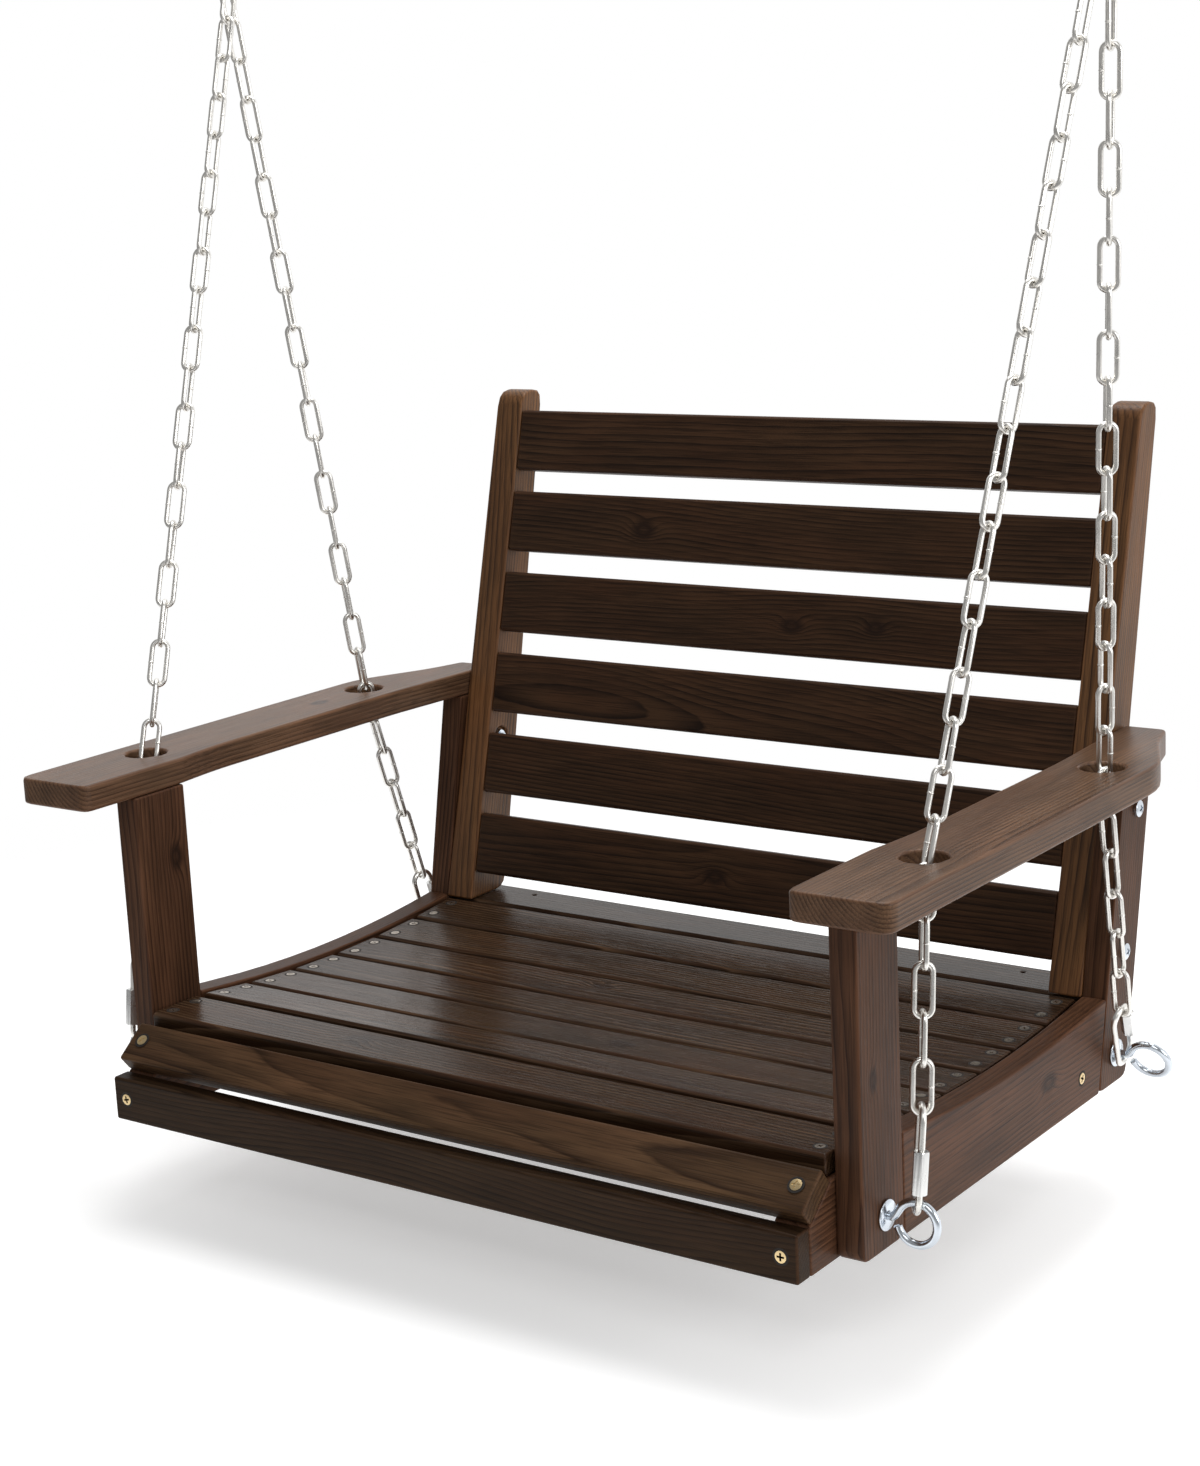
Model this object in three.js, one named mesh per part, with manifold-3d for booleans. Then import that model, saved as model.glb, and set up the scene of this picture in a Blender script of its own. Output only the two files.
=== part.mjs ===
// A hanging timber porch swing for one: a slatted seat and backrest between two arm frames,
// carried by four welded chains that meet in pairs at two top hangers.
//
// Millimetres, +X to the sitter's left-hand side of the seat seen from the front (the right of a
// viewer), +Y to the back, +Z up. The seat is laid out from the front face of the apron (y = 0) and
// the underside of the rails (z = 0); the finished group is then moved so that its origin lies
// midway between the two hangers, on the axis that the seat swings about.

import * as THREE from 'three';
import { mergeVertices } from 'three/addons/utils/BufferGeometryUtils.js';
import Module from 'manifold-3d';

const wasm = await Module();
wasm.setup();

// ---------------------------------------------------------------- driving dimensions

const gap = 0.3; // between pieces that touch
const boreClearance = 0.4; // round a shank or a threaded end

const frontLength = 630; // apron and nose board, outside to outside of the inner rails
const slatThickness = 16;
const sideThickness = 21; // posts, outer rails and armrests
const railThickness = 28; // inner rails and backrest uprights
const cornerRadius = 8; // bottom corners of posts

const apron = { height: 35, thickness: 16 };
const nose = { width: 34, thickness: 16, slope: 38.6, lift: 0.8, setBack: 17.8 };

const seatSlat = { count: 7, width: 50, gap: 4.3, crestGap: 9, endInset: 3.5, edge: 2.5 };
const seatCurve = { crestY: 64, crestZ: 75.2, crestRadius: 525, fall: 0.12, valleyRadius: 1260 };
const rearSlat = { gap: 6, holeX: 245.6, holeSetBack: 10, holeRadius: 4 };
const railSeatClearance = 0.6; // between the curved rail tops and the flat slats
const railTail = 5; // inner rails past the rear slat
const outerRailRise = 1.5; // outer rails above the seat curve

const frontPost = { front: 49, width: 55.3 };
const backPost = { forward: 11.7, width: 48.4, lean: 0.2 };
const postHeight = 249.5;

const arm = {
  overhang: 51, width: 75, endShort: 2, hollow: 5.5, innerRadius: 8, outerRadius: 12, rearRadius: 5,
  holeRadius: 16.8, holeFromInnerEdge: 41, frontHoleBehindPost: 1, rearHoleBeforePost: 85.8,
};
const armTaper = { start: 103, middle: 37, middleX: 31, endX: 41 }; // from the rear end, in from the side

const upright = { top: 519, footDepth: 51.2, frontLean: 0.263, rearLean: 0.213, radius: 12.5 };
const backSlat = { count: 6, height: 54, gap: 19.4, topDrop: 16.2, faceInset: 0.9, endGap: 0.5, edge: 2.5 };
const backBolt = {
  heights: { upper: 212, lower: 103 }, radius: 3, headRadius: 6.6, headHeight: 4,
  nutWidth: 10, nutHeight: 5, recessRadius: 8.5, tipBeyond: 3.5,
};

const eyeBolt = {
  height: 25, wire: 6, ringDiameter: 36.5, ringDrop: 1.5, frontOffset: 3,
  frontStandOff: 23.4, rearStandOff: 28.7, rearTilt: -26.5, opening: 12,
  washerDiameter: 22, washerThickness: 1.5, nutWidth: 10, nutHeight: 5, tipBeyond: 2.5,
};
const quickLink = {
  wire: 4.8, length: 77.3, innerWidth: 14, mouth: 7, mouthStart: 18,
  sleeveWidth: 10, sleeveLength: 29.5, sleeveStart: 14.5,
};
const chain = {
  wire: 4, pitch: 32, width: 16.5, bite: 0.8, cornerCut: 5, spread: 2.9, hookGap: 0.7, hangGap: 1.2,
};
const hanger = { x: 395, y: 310, z: 874.5 }; // the wire that the chains of one side hang on
const chainTouch = { front: 1, rear: 4 }; // behind the middle of the arm hole
// The direction of each quick link from its eye bolt, and the side that its sleeve faces.
const hangs = [
  { end: 'front', side: 1, axis: [0.01, 0.13, 0.99], face: [0.59, -0.81, 0] },
  { end: 'front', side: -1, axis: [-0.01, 0.13, 0.99], face: [-0.59, -0.81, 0] },
  { end: 'rear', side: 1, axis: [0.215, -0.627, 0.748], face: [0.18, 0.79, 0.59] },
  { end: 'rear', side: -1, axis: [-0.054, -0.234, 0.971], face: [0.2, 0.97, 0.2] },
];
const shankHold = 6.7; // from the post's face to the link's wire

// ---------------------------------------------------------------- derived places

const railOuterX = frontLength / 2;
const railInnerX = railOuterX - railThickness;
const sideInnerX = railOuterX + gap;
const sideOuterX = sideInnerX + sideThickness;

const valleyY = seatCurve.crestY + seatCurve.fall * (seatCurve.crestRadius + seatCurve.valleyRadius);
const valleyZ = seatCurve.crestZ - (seatCurve.fall ** 2 * (seatCurve.crestRadius + seatCurve.valleyRadius)) / 2;
const turnY = seatCurve.crestY + seatCurve.fall * seatCurve.crestRadius; // where crest meets valley

function seatHeight(y) {
  return y < turnY
    ? seatCurve.crestZ - (y - seatCurve.crestY) ** 2 / (2 * seatCurve.crestRadius)
    : valleyZ + (y - valleyY) ** 2 / (2 * seatCurve.valleyRadius);
}

function seatSlope(y) {
  return y < turnY ? -(y - seatCurve.crestY) / seatCurve.crestRadius : (y - valleyY) / seatCurve.valleyRadius;
}

// The nose board leans back above the apron: its corners, front-bottom first, then round the back.
const noseTurn = THREE.MathUtils.degToRad(nose.slope);
const noseAlong = new THREE.Vector2(Math.cos(noseTurn), Math.sin(noseTurn));
const noseInward = new THREE.Vector2(noseAlong.y, -noseAlong.x);
const noseLowBack = new THREE.Vector2(nose.setBack, apron.height + nose.lift);
const noseLowFront = noseLowBack.clone().addScaledVector(noseInward, -nose.thickness);
const noseTopFront = noseLowFront.clone().addScaledVector(noseAlong, nose.width);
const noseTopBack = noseLowBack.clone().addScaledVector(noseAlong, nose.width);

// Seat slat centres, stepped along the curve from the back of the nose board.
const slatCentres = [];
for (let i = 0, y = noseTopBack.x + seatSlat.width / 2; i < seatSlat.count; i += 1) {
  slatCentres.push(y);
  const step = seatSlat.width + (i === 0 ? seatSlat.crestGap : seatSlat.gap);
  y += step * Math.cos(Math.atan(seatSlope(y + step / 2)));
}
const lastSlat = slatCentres[seatSlat.count - 1];
const lastSlope = Math.atan(seatSlope(lastSlat));
const seatRear = {
  y: lastSlat + (seatSlat.width / 2) * Math.cos(lastSlope),
  z: seatHeight(lastSlat) + (seatSlat.width / 2) * Math.sin(lastSlope),
};
const rearSlatTop = seatRear.z - gap;
const rearSlatFront = seatRear.y + rearSlat.gap;
const rearSlatBack = rearSlatFront + seatSlat.width;

const uprightFoot = rearSlatTop + gap;
const uprightFrontY = (z) => seatRear.y + gap + upright.frontLean * (z - uprightFoot);
const uprightRearY = (z) => seatRear.y + gap + upright.footDepth + upright.rearLean * (z - uprightFoot);
const backPostFrontY = (z) => seatRear.y - backPost.forward + backPost.lean * z;
const backPostRearY = (z) => backPostFrontY(z) + backPost.width;
const frontPostRear = frontPost.front + frontPost.width;

const armBottom = postHeight + gap;
const armInner = sideInnerX + gap;
const armOuter = armInner + arm.width;
const armFront = frontPost.front - arm.overhang;
const armRear = backPostRearY(postHeight) - arm.endShort;
const armHoleX = armInner + arm.holeFromInnerEdge;
const armHoleY = {
  front: frontPostRear + arm.frontHoleBehindPost,
  rear: backPostFrontY(armBottom) - arm.rearHoleBeforePost,
};
const armMiddle = armBottom + sideThickness / 2;

const boltY = (z) => (Math.max(backPostFrontY(z), uprightFrontY(z)) + Math.min(backPostRearY(z), uprightRearY(z))) / 2;
const eyeBoltY = {
  front: frontPost.front + frontPost.width / 2 + eyeBolt.frontOffset,
  rear: (backPostFrontY(eyeBolt.height) + backPostRearY(eyeBolt.height)) / 2,
};

// ---------------------------------------------------------------- finishes

const paint = (color, roughness, metalness = 0) => () => new THREE.MeshStandardMaterial({ color, roughness, metalness });
const darkWood = paint(0x37261d, 0.55);
const seatWood = paint(0x3b2a20, 0.45);
const redWood = paint(0x4a3026, 0.6);
const steel = paint(0xc9cbcd, 0.28, 1);
const zinc = paint(0xb8c2cb, 0.32, 1);

// ---------------------------------------------------------------- shapes

// A closed outline through [a, b, radius] corners; a radius of 0 or none keeps the corner sharp.
function outline(corners) {
  const shape = new THREE.Shape();
  corners.forEach(([a, b, radius = 0], i) => {
    const corner = new THREE.Vector2(a, b);
    const toward = (other) => new THREE.Vector2(other[0], other[1]).sub(corner).setLength(radius).add(corner);
    const entry = radius ? toward(corners.at(i - 1)) : corner;
    if (i === 0) shape.moveTo(entry.x, entry.y);
    else shape.lineTo(entry.x, entry.y);
    if (radius) {
      const exit = toward(corners[(i + 1) % corners.length]);
      shape.quadraticCurveTo(corner.x, corner.y, exit.x, exit.y);
    }
  });
  return shape;
}

// A board whose outline is drawn in Y and Z and that runs along X from x0 to x1.
const acrossBasis = new THREE.Matrix4().makeBasis(
  new THREE.Vector3(0, 1, 0), new THREE.Vector3(0, 0, 1), new THREE.Vector3(1, 0, 0));

function across(shape, x0, x1, curveSegments = 3) {
  const depth = x1 - x0;
  return new THREE.ExtrudeGeometry(shape, { depth, bevelEnabled: false, curveSegments })
    .applyMatrix4(acrossBasis).translate(x0, 0, 0);
}

// The same, on the left (-1) or right (+1) side, from the inner face x0 to the outer face x1.
const onSide = (shape, side, x0, x1) => across(shape, Math.min(side * x0, side * x1), Math.max(side * x0, side * x1));

// A slat section centred on its own middle: width along Y, thickness along Z.
function slatBar(width, thickness, edge, halfLength) {
  const a = width / 2;
  const b = thickness / 2;
  return across(outline([[-a, -b, edge], [a, -b, edge], [a, b, edge], [-a, b, edge]]), -halfLength, halfLength, 2);
}

// A rod along X of the given radius, its flats outside that radius when it is a cutter.
function rodX(radius, x0, x1, y, z, sides = 12, cutter = false) {
  const corner = cutter ? radius / Math.cos(Math.PI / sides) : radius;
  return new THREE.CylinderGeometry(corner, corner, Math.abs(x1 - x0), sides)
    .rotateZ(Math.PI / 2).translate((x0 + x1) / 2, y, z);
}

function hexRod(acrossFlats, x0, x1, y, z) {
  return rodX(acrossFlats / 2 / Math.cos(Math.PI / 6), x0, x1, y, z, 6);
}

function wireAlong(curve, radius, sides, steps) {
  const section = new THREE.Shape(Array.from({ length: sides }, (_, i) => {
    const turn = (2 * Math.PI * i) / sides;
    return new THREE.Vector2(radius * Math.cos(turn), radius * Math.sin(turn));
  }));
  return new THREE.ExtrudeGeometry(section, { extrudePath: curve, steps });
}

// ---------------------------------------------------------------- joining and cutting

function toSolid(geometry) {
  const bare = geometry.clone();
  bare.deleteAttribute('normal');
  bare.deleteAttribute('uv');
  const merged = mergeVertices(bare, 1e-4);
  return new wasm.Manifold(new wasm.Mesh({
    numProp: 3,
    vertProperties: new Float32Array(merged.attributes.position.array),
    triVerts: new Uint32Array(merged.index.array),
  }));
}

function toGeometry(solid) {
  const mesh = solid.getMesh();
  const geometry = new THREE.BufferGeometry();
  geometry.setAttribute('position', new THREE.BufferAttribute(new Float32Array(mesh.vertProperties), 3));
  geometry.setIndex(new THREE.BufferAttribute(new Uint32Array(mesh.triVerts), 1));
  geometry.computeVertexNormals();
  return geometry;
}

const cut = (body, ...tools) => toGeometry(tools.reduce((solid, tool) => solid.subtract(toSolid(tool)), toSolid(body)));
const join = (...parts) => toGeometry(parts.map(toSolid).reduce((whole, part) => whole.add(part)));

// ---------------------------------------------------------------- the assembly

const seat = new THREE.Group(); // everything, in layout coordinates
seat.position.set(0, -hanger.y, -hanger.z);

function add(name, geometry, finish) {
  const mesh = new THREE.Mesh(geometry, finish());
  mesh.name = name;
  seat.add(mesh);
  return mesh;
}

const sides = [['left', -1], ['right', 1]];

// Front boards.
add('apron', across(outline([
  [0, 0, 2], [apron.thickness, 0], [apron.thickness, apron.height], [0, apron.height, 2],
]), -railOuterX, railOuterX), redWood);
add('nose_board', across(outline([
  [...noseLowFront.toArray(), 2], [...noseLowBack.toArray(), 2],
  noseTopBack.toArray(), [...noseTopFront.toArray(), 2],
]), -railOuterX, railOuterX), redWood);

// Seat slats, and the flat rear slat with its two empty countersunk holes.
const slatHalf = railOuterX - seatSlat.endInset;
slatCentres.forEach((y, i) => {
  const slat = add(`seat_slat_${i + 1}`, slatBar(seatSlat.width, slatThickness, seatSlat.edge, slatHalf), seatWood);
  const lean = Math.atan(seatSlope(y));
  slat.rotation.x = lean;
  slat.position.set(0, y + (slatThickness / 2) * Math.sin(lean), seatHeight(y) - (slatThickness / 2) * Math.cos(lean));
});
const rearHoles = [-1, 1].map((side) => new THREE.ConeGeometry(rearSlat.holeRadius, rearSlat.holeRadius * 2, 10)
  .rotateX(-Math.PI / 2)
  .translate(side * rearSlat.holeX, rearSlat.holeSetBack, slatThickness / 2));
add('rear_slat', cut(slatBar(seatSlat.width, slatThickness, seatSlat.edge, slatHalf), ...rearHoles), seatWood)
  .position.set(0, (rearSlatFront + rearSlatBack) / 2, rearSlatTop - slatThickness / 2);

// The inner rails carry the slats: their tops follow the seat curve, one slat lower.
function railTop(y) {
  return seatHeight(y) - (slatThickness + railSeatClearance) / Math.cos(Math.atan(seatSlope(y)));
}
const curveSteps = 10;
function alongSeat(height, from, to) {
  return Array.from({ length: curveSteps + 1 }, (_, i) => {
    const y = from + ((to - from) * i) / curveSteps;
    return [y, height(y)];
  });
}
const railFront = apron.thickness + gap;
const noseBackAt = (y) => noseLowBack.y + (y - noseLowBack.x) * Math.tan(noseTurn) - gap / Math.cos(noseTurn);
const rearSlatUnder = rearSlatTop - slatThickness - gap;
const innerRailOutline = outline([
  [railFront, 0], [railFront, noseBackAt(railFront)], [noseTopBack.x, noseBackAt(noseTopBack.x)],
  ...alongSeat(railTop, noseTopBack.x + 1, seatRear.y),
  [rearSlatFront, rearSlatUnder], [rearSlatBack + railTail, rearSlatUnder, 4], [rearSlatBack + railTail, 0, 4],
]);

// Outer side rails fill the space between the posts and stand a little above the slats.
const outerRailTop = (y) => seatHeight(y) + outerRailRise;
const outerRailEnd = (z) => backPostFrontY(z) - gap;
const outerRailRear = outerRailEnd(outerRailTop(seatRear.y));
const outerRailOutline = outline([
  [frontPostRear + gap, 0],
  ...alongSeat(outerRailTop, frontPostRear + gap, outerRailRear),
  [outerRailEnd(0), 0],
]);

const frontPostOutline = outline([
  [frontPost.front, 0, cornerRadius], [frontPostRear, 0, cornerRadius],
  [frontPostRear, postHeight], [frontPost.front, postHeight],
]);
const backPostOutline = outline([
  [backPostFrontY(0), 0, cornerRadius], [backPostRearY(0), 0, cornerRadius],
  [backPostRearY(postHeight), postHeight], [backPostFrontY(postHeight), postHeight],
]);
const uprightOutline = outline([
  [uprightFrontY(uprightFoot), uprightFoot], [uprightRearY(uprightFoot), uprightFoot, upright.radius],
  [uprightRearY(upright.top), upright.top, upright.radius], [uprightFrontY(upright.top), upright.top, upright.radius],
]);

const eyeBore = (side, end) => rodX(eyeBolt.wire / 2 + boreClearance, side * (railInnerX - 1),
  side * (sideOuterX + 1), eyeBoltY[end], eyeBolt.height, 12, true);
const boltBore = (side, z) => rodX(backBolt.radius + boreClearance, side * (railInnerX - 1),
  side * (sideOuterX + 1), boltY(z), z, 12, true);
const boltRecess = (side, z) => rodX(backBolt.recessRadius, side * (railInnerX - 1),
  side * (railInnerX + backBolt.nutHeight + gap), boltY(z), z, 14);
const boltHeights = Object.values(backBolt.heights);

for (const [label, side] of sides) {
  add(`inner_rail_${label}`, cut(
    onSide(innerRailOutline, side, railInnerX, railOuterX),
    eyeBore(side, 'front'), eyeBore(side, 'rear')), redWood);
  add(`outer_rail_${label}`, onSide(outerRailOutline, side, sideInnerX, sideOuterX), redWood);
  add(`front_post_${label}`, cut(
    onSide(frontPostOutline, side, sideInnerX, sideOuterX), eyeBore(side, 'front')), redWood);
  add(`back_post_${label}`, cut(
    onSide(backPostOutline, side, sideInnerX, sideOuterX),
    eyeBore(side, 'rear'), ...boltHeights.map((z) => boltBore(side, z))), redWood);
  add(`upright_${label}`, cut(
    onSide(uprightOutline, side, railInnerX, railOuterX),
    ...boltHeights.flatMap((z) => [boltBore(side, z), boltRecess(side, z)])), redWood);
}

// Armrests: straight outside, tapering in behind the rear chain hole, hollowed a little inside.
for (const [label, side] of sides) {
  const plan = outline([
    [side * armInner, armFront, arm.innerRadius],
    [side * armOuter, armFront, arm.outerRadius],
    [side * armOuter, armRear - armTaper.start, 20],
    [side * (armOuter - armTaper.middleX), armRear - armTaper.middle, 12],
    [side * (armOuter - armTaper.endX), armRear, arm.rearRadius],
    [side * armInner, armRear, 3],
    [side * armInner, armRear - armTaper.middle],
    [side * (armInner + arm.hollow), armHoleY.rear, 30],
    [side * (armInner + arm.hollow), frontPostRear + 45, 20],
    [side * armInner, frontPostRear],
  ]);
  const board = new THREE.ExtrudeGeometry(plan, { depth: sideThickness, bevelEnabled: false, curveSegments: 3 })
    .translate(0, 0, armBottom);
  const holes = Object.values(armHoleY).map((y) => new THREE.CylinderGeometry(
    arm.holeRadius, arm.holeRadius, sideThickness + 2, 20).rotateX(Math.PI / 2).translate(side * armHoleX, y, armMiddle));
  add(`armrest_${label}`, cut(board, ...holes), redWood);
}

// Back slats lie in the plane of the uprights' front edges, just behind them.
const backLean = Math.atan(upright.frontLean);
const backSlatHalf = railInnerX - backSlat.endGap;
for (let i = 0; i < backSlat.count; i += 1) {
  const down = (backSlat.height / 2 + i * (backSlat.height + backSlat.gap)) * Math.cos(backLean);
  const z = upright.top - backSlat.topDrop - down;
  const behind = backSlat.faceInset + slatThickness / 2;
  const slat = add(`back_slat_${i + 1}`, slatBar(backSlat.height, slatThickness, backSlat.edge, backSlatHalf), darkWood);
  slat.rotation.x = Math.PI / 2 - backLean;
  slat.position.set(0, uprightFrontY(z) + behind * Math.cos(backLean), z - behind * Math.sin(backLean));
}

// Backrest bolts: pan head on the post, shank through post and upright, nut in the recess.
for (const [label, side] of sides) {
  for (const [level, z] of Object.entries(backBolt.heights)) {
    const y = boltY(z);
    const head = sideOuterX + gap;
    add(`backrest_bolt_${level}_${label}`, join(
      rodX(backBolt.headRadius, side * head, side * (head + backBolt.headHeight), y, z, 14),
      rodX(backBolt.radius, side * (railInnerX - backBolt.tipBeyond), side * (head + 1), y, z, 10),
      hexRod(backBolt.nutWidth, side * railInnerX, side * (railInnerX + backBolt.nutHeight), y, z)), zinc);
  }
}

// ---------------------------------------------------------------- eye bolts

// Shank along X into an open ring; the ring's plane holds the shank and the direction `up`.
function eyeBoltCurve(side, y, standOff, up) {
  const radius = (eyeBolt.ringDiameter - eyeBolt.wire) / 2;
  const centreX = sideOuterX + standOff;
  const at = (x, rise) => new THREE.Vector3(side * x, y + rise * up.y, eyeBolt.height + rise * up.z);
  const points = [at(railInnerX - gap - eyeBolt.nutHeight - eyeBolt.tipBeyond, 0), at(railInnerX, 0), at(sideInnerX, 0)];
  const leave = centreX - radius - 3;
  points.push(at(leave - 6, 0), at(leave, 0));
  const end = -180 + eyeBolt.opening; // degrees round the ring, from the far side
  for (let turn = 150; turn >= end; turn -= 22.5) {
    const angle = THREE.MathUtils.degToRad(turn);
    points.push(at(centreX + radius * Math.cos(angle), radius * Math.sin(angle) - eyeBolt.ringDrop));
  }
  return new THREE.CatmullRomCurve3(points, false, 'centripetal');
}

const tilt = THREE.MathUtils.degToRad(eyeBolt.rearTilt);
const eyes = {
  front: { up: new THREE.Vector3(0, 0, 1), standOff: eyeBolt.frontStandOff },
  rear: { up: new THREE.Vector3(0, Math.sin(tilt), Math.cos(tilt)), standOff: eyeBolt.rearStandOff },
};

function ringWithBore(outer, hole, x0, x1, y, z, sideCount) {
  return cut(rodX(outer, x0, x1, y, z, sideCount), rodX(hole, x0 - 1, x1 + 1, y, z, 10, true));
}

for (const [label, side] of sides) {
  for (const end of ['front', 'rear']) {
    const y = eyeBoltY[end];
    const z = eyeBolt.height;
    const bore = eyeBolt.wire / 2 + boreClearance;
    const washerX = sideOuterX + gap;
    const nutX = railInnerX - gap;
    const spanX = (a, b) => [Math.min(side * a, side * b), Math.max(side * a, side * b)];
    add(`eye_bolt_${end}_${label}`, wireAlong(
      eyeBoltCurve(side, y, eyes[end].standOff, eyes[end].up), eyeBolt.wire / 2, 7, 24), zinc);
    add(`washer_${end}_${label}`, ringWithBore(
      eyeBolt.washerDiameter / 2, bore, ...spanX(washerX, washerX + eyeBolt.washerThickness), y, z, 18), zinc);
    add(`eye_nut_${end}_${label}`, ringWithBore(
      eyeBolt.nutWidth / 2 / Math.cos(Math.PI / 6), bore, ...spanX(nutX - eyeBolt.nutHeight, nutX), y, z, 6), zinc);
  }
}

// ---------------------------------------------------------------- quick links

// Drawn in its own X (across) and Z (along), from the middle of the wire at the lower end. The
// mouth and the sleeve that closes it are on the +X side, near the lower end, or near the upper
// end when `upper` is set.
const linkRadius = (quickLink.innerWidth + quickLink.wire) / 2;
const linkSpan = quickLink.length - quickLink.wire;

class QuickLinkCurve extends THREE.Curve {
  constructor(upper) {
    super();
    this.upper = upper;
    this.straight = linkSpan - 2 * linkRadius;
    this.bend = Math.PI * linkRadius;
    this.total = 2 * (this.straight + this.bend) - quickLink.mouth;
  }

  getPoint(t, target = new THREE.Vector3()) {
    let s = t * this.total;
    const firstLeg = quickLink.mouthStart - linkRadius;
    let x = linkRadius;
    let z = quickLink.mouthStart - s;
    s -= firstLeg;
    if (s > 0) { // round the lower end
      const turn = Math.min(s, this.bend) / linkRadius;
      x = linkRadius * Math.cos(turn);
      z = linkRadius - linkRadius * Math.sin(turn);
      s -= this.bend;
    }
    if (s > 0) { // up the plain side
      x = -linkRadius;
      z = linkRadius + Math.min(s, this.straight);
      s -= this.straight;
    }
    if (s > 0) { // round the upper end
      const turn = Math.min(s, this.bend) / linkRadius;
      x = -linkRadius * Math.cos(turn);
      z = linkSpan - linkRadius + linkRadius * Math.sin(turn);
      s -= this.bend;
    }
    if (s > 0) { // down to the mouth
      x = linkRadius;
      z = linkSpan - linkRadius - s;
    }
    return target.set(x, 0, this.upper ? linkSpan - z : z);
  }
}

function sleeveGeometry(upper) {
  const corner = quickLink.sleeveWidth / 2 / Math.cos(Math.PI / 6);
  const hexagon = new THREE.Shape(Array.from({ length: 6 }, (_, i) => new THREE.Vector2(
    corner * Math.cos((Math.PI * i) / 3), corner * Math.sin((Math.PI * i) / 3))));
  const boreSides = 10;
  const bore = (quickLink.wire / 2 + boreClearance) / Math.cos(Math.PI / boreSides);
  hexagon.holes.push(new THREE.Path(Array.from({ length: boreSides }, (_, i) => new THREE.Vector2(
    bore * Math.cos((2 * Math.PI * i) / boreSides), bore * Math.sin((2 * Math.PI * i) / boreSides)))));
  const low = upper ? linkSpan - quickLink.sleeveStart - quickLink.sleeveLength : quickLink.sleeveStart;
  return new THREE.ExtrudeGeometry(hexagon, { depth: quickLink.sleeveLength, bevelEnabled: false })
    .translate(linkRadius, 0, low);
}

// The frame of a link that stands from `low` along `axis`, its sleeve towards `face`.
function linkFrame(low, axis, face) {
  const along = axis.clone().normalize();
  const wide = face.clone().addScaledVector(along, -face.dot(along)).normalize();
  const normal = along.clone().cross(wide);
  return new THREE.Matrix4().makeBasis(wide, normal, along).setPosition(low);
}

function addQuickLink(name, sleeveName, frame, upper) {
  for (const [label, geometry] of [
    [name, wireAlong(new QuickLinkCurve(upper), quickLink.wire / 2, 6, 21)],
    [sleeveName, sleeveGeometry(upper)],
  ]) {
    const mesh = add(label, geometry, steel);
    frame.decompose(mesh.position, mesh.quaternion, mesh.scale);
  }
}

// How far the round end of a link rises over half the width of what hangs in it.
const endRise = (halfWidth) => linkRadius - Math.sqrt(linkRadius ** 2 - halfWidth ** 2);

// ---------------------------------------------------------------- chains

// One welded link as a flat ring of square bar with the same area as its round wire.
const chainBar = (chain.wire * Math.sqrt(Math.PI)) / 2;

function chainLink(spacing) {
  const innerHalf = (spacing - chain.bite) / 2;
  const halfWidth = chain.width / 2;
  const halfLength = innerHalf + chainBar;
  const end = halfWidth - chain.cornerCut;
  const shape = outline([
    [-halfWidth, chain.cornerCut - halfLength], [-end, -halfLength],
    [end, -halfLength], [halfWidth, chain.cornerCut - halfLength],
    [halfWidth, halfLength - chain.cornerCut], [end, halfLength],
    [-end, halfLength], [-halfWidth, halfLength - chain.cornerCut]]);
  const eye = halfWidth - chainBar;
  shape.holes.push(outline([[-eye, -innerHalf], [-eye, innerHalf], [eye, innerHalf], [eye, -innerHalf]]));
  // width along X, bar thickness along Y, length along Z
  return new THREE.ExtrudeGeometry(shape, { depth: chainBar, bevelEnabled: false })
    .translate(0, 0, -chainBar / 2).rotateX(Math.PI / 2);
}

// A chain from the quick link at `low`, over the edge of the arm hole at `kink`, to the hanger at
// `high`. Each link is turned a quarter from the last, with an even twist between the two ends.
function chainSolid(low, kink, high, firstWide, lastWide) {
  const lower = low.distanceTo(kink);
  const total = lower + kink.distanceTo(high);
  const count = Math.round(total / chain.pitch);
  const spacing = total / count;
  const pointAt = (s) => (s < lower
    ? low.clone().lerp(kink, s / lower)
    : kink.clone().lerp(high, (s - lower) / (total - lower)));
  const steps = Array.from({ length: count }, (_, i) => {
    const from = pointAt(i * spacing);
    const to = pointAt((i + 1) * spacing);
    return { centre: from.clone().lerp(to, 0.5), along: to.clone().sub(from).normalize() };
  });
  const square = (vector, along) => vector.clone().addScaledVector(along, -vector.dot(along)).normalize();
  const carried = [];
  steps.reduce((wide, { along }) => {
    const next = square(wide, along);
    carried.push(next);
    return next;
  }, firstWide);
  const turnedBy = (i, angle) => carried[i].clone().applyAxisAngle(steps[i].along, angle);
  const last = count - 1;
  const goal = square(lastWide, steps[last].along);
  const reached = turnedBy(last, (last * Math.PI) / 2);
  let twist = Math.atan2(reached.clone().cross(goal).dot(steps[last].along), reached.dot(goal));
  if (Math.abs(twist) > Math.PI / 2) twist -= Math.sign(twist) * Math.PI;

  const link = chainLink(spacing);
  const placed = steps.map(({ centre, along }, i) => {
    const wide = turnedBy(i, (i * Math.PI) / 2 + (twist * i) / last);
    const basis = new THREE.Matrix4().makeBasis(wide, along.clone().cross(wide), along).setPosition(centre);
    return link.clone().applyMatrix4(basis);
  });
  return join(...placed);
}

// ---------------------------------------------------------------- the four corners

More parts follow.
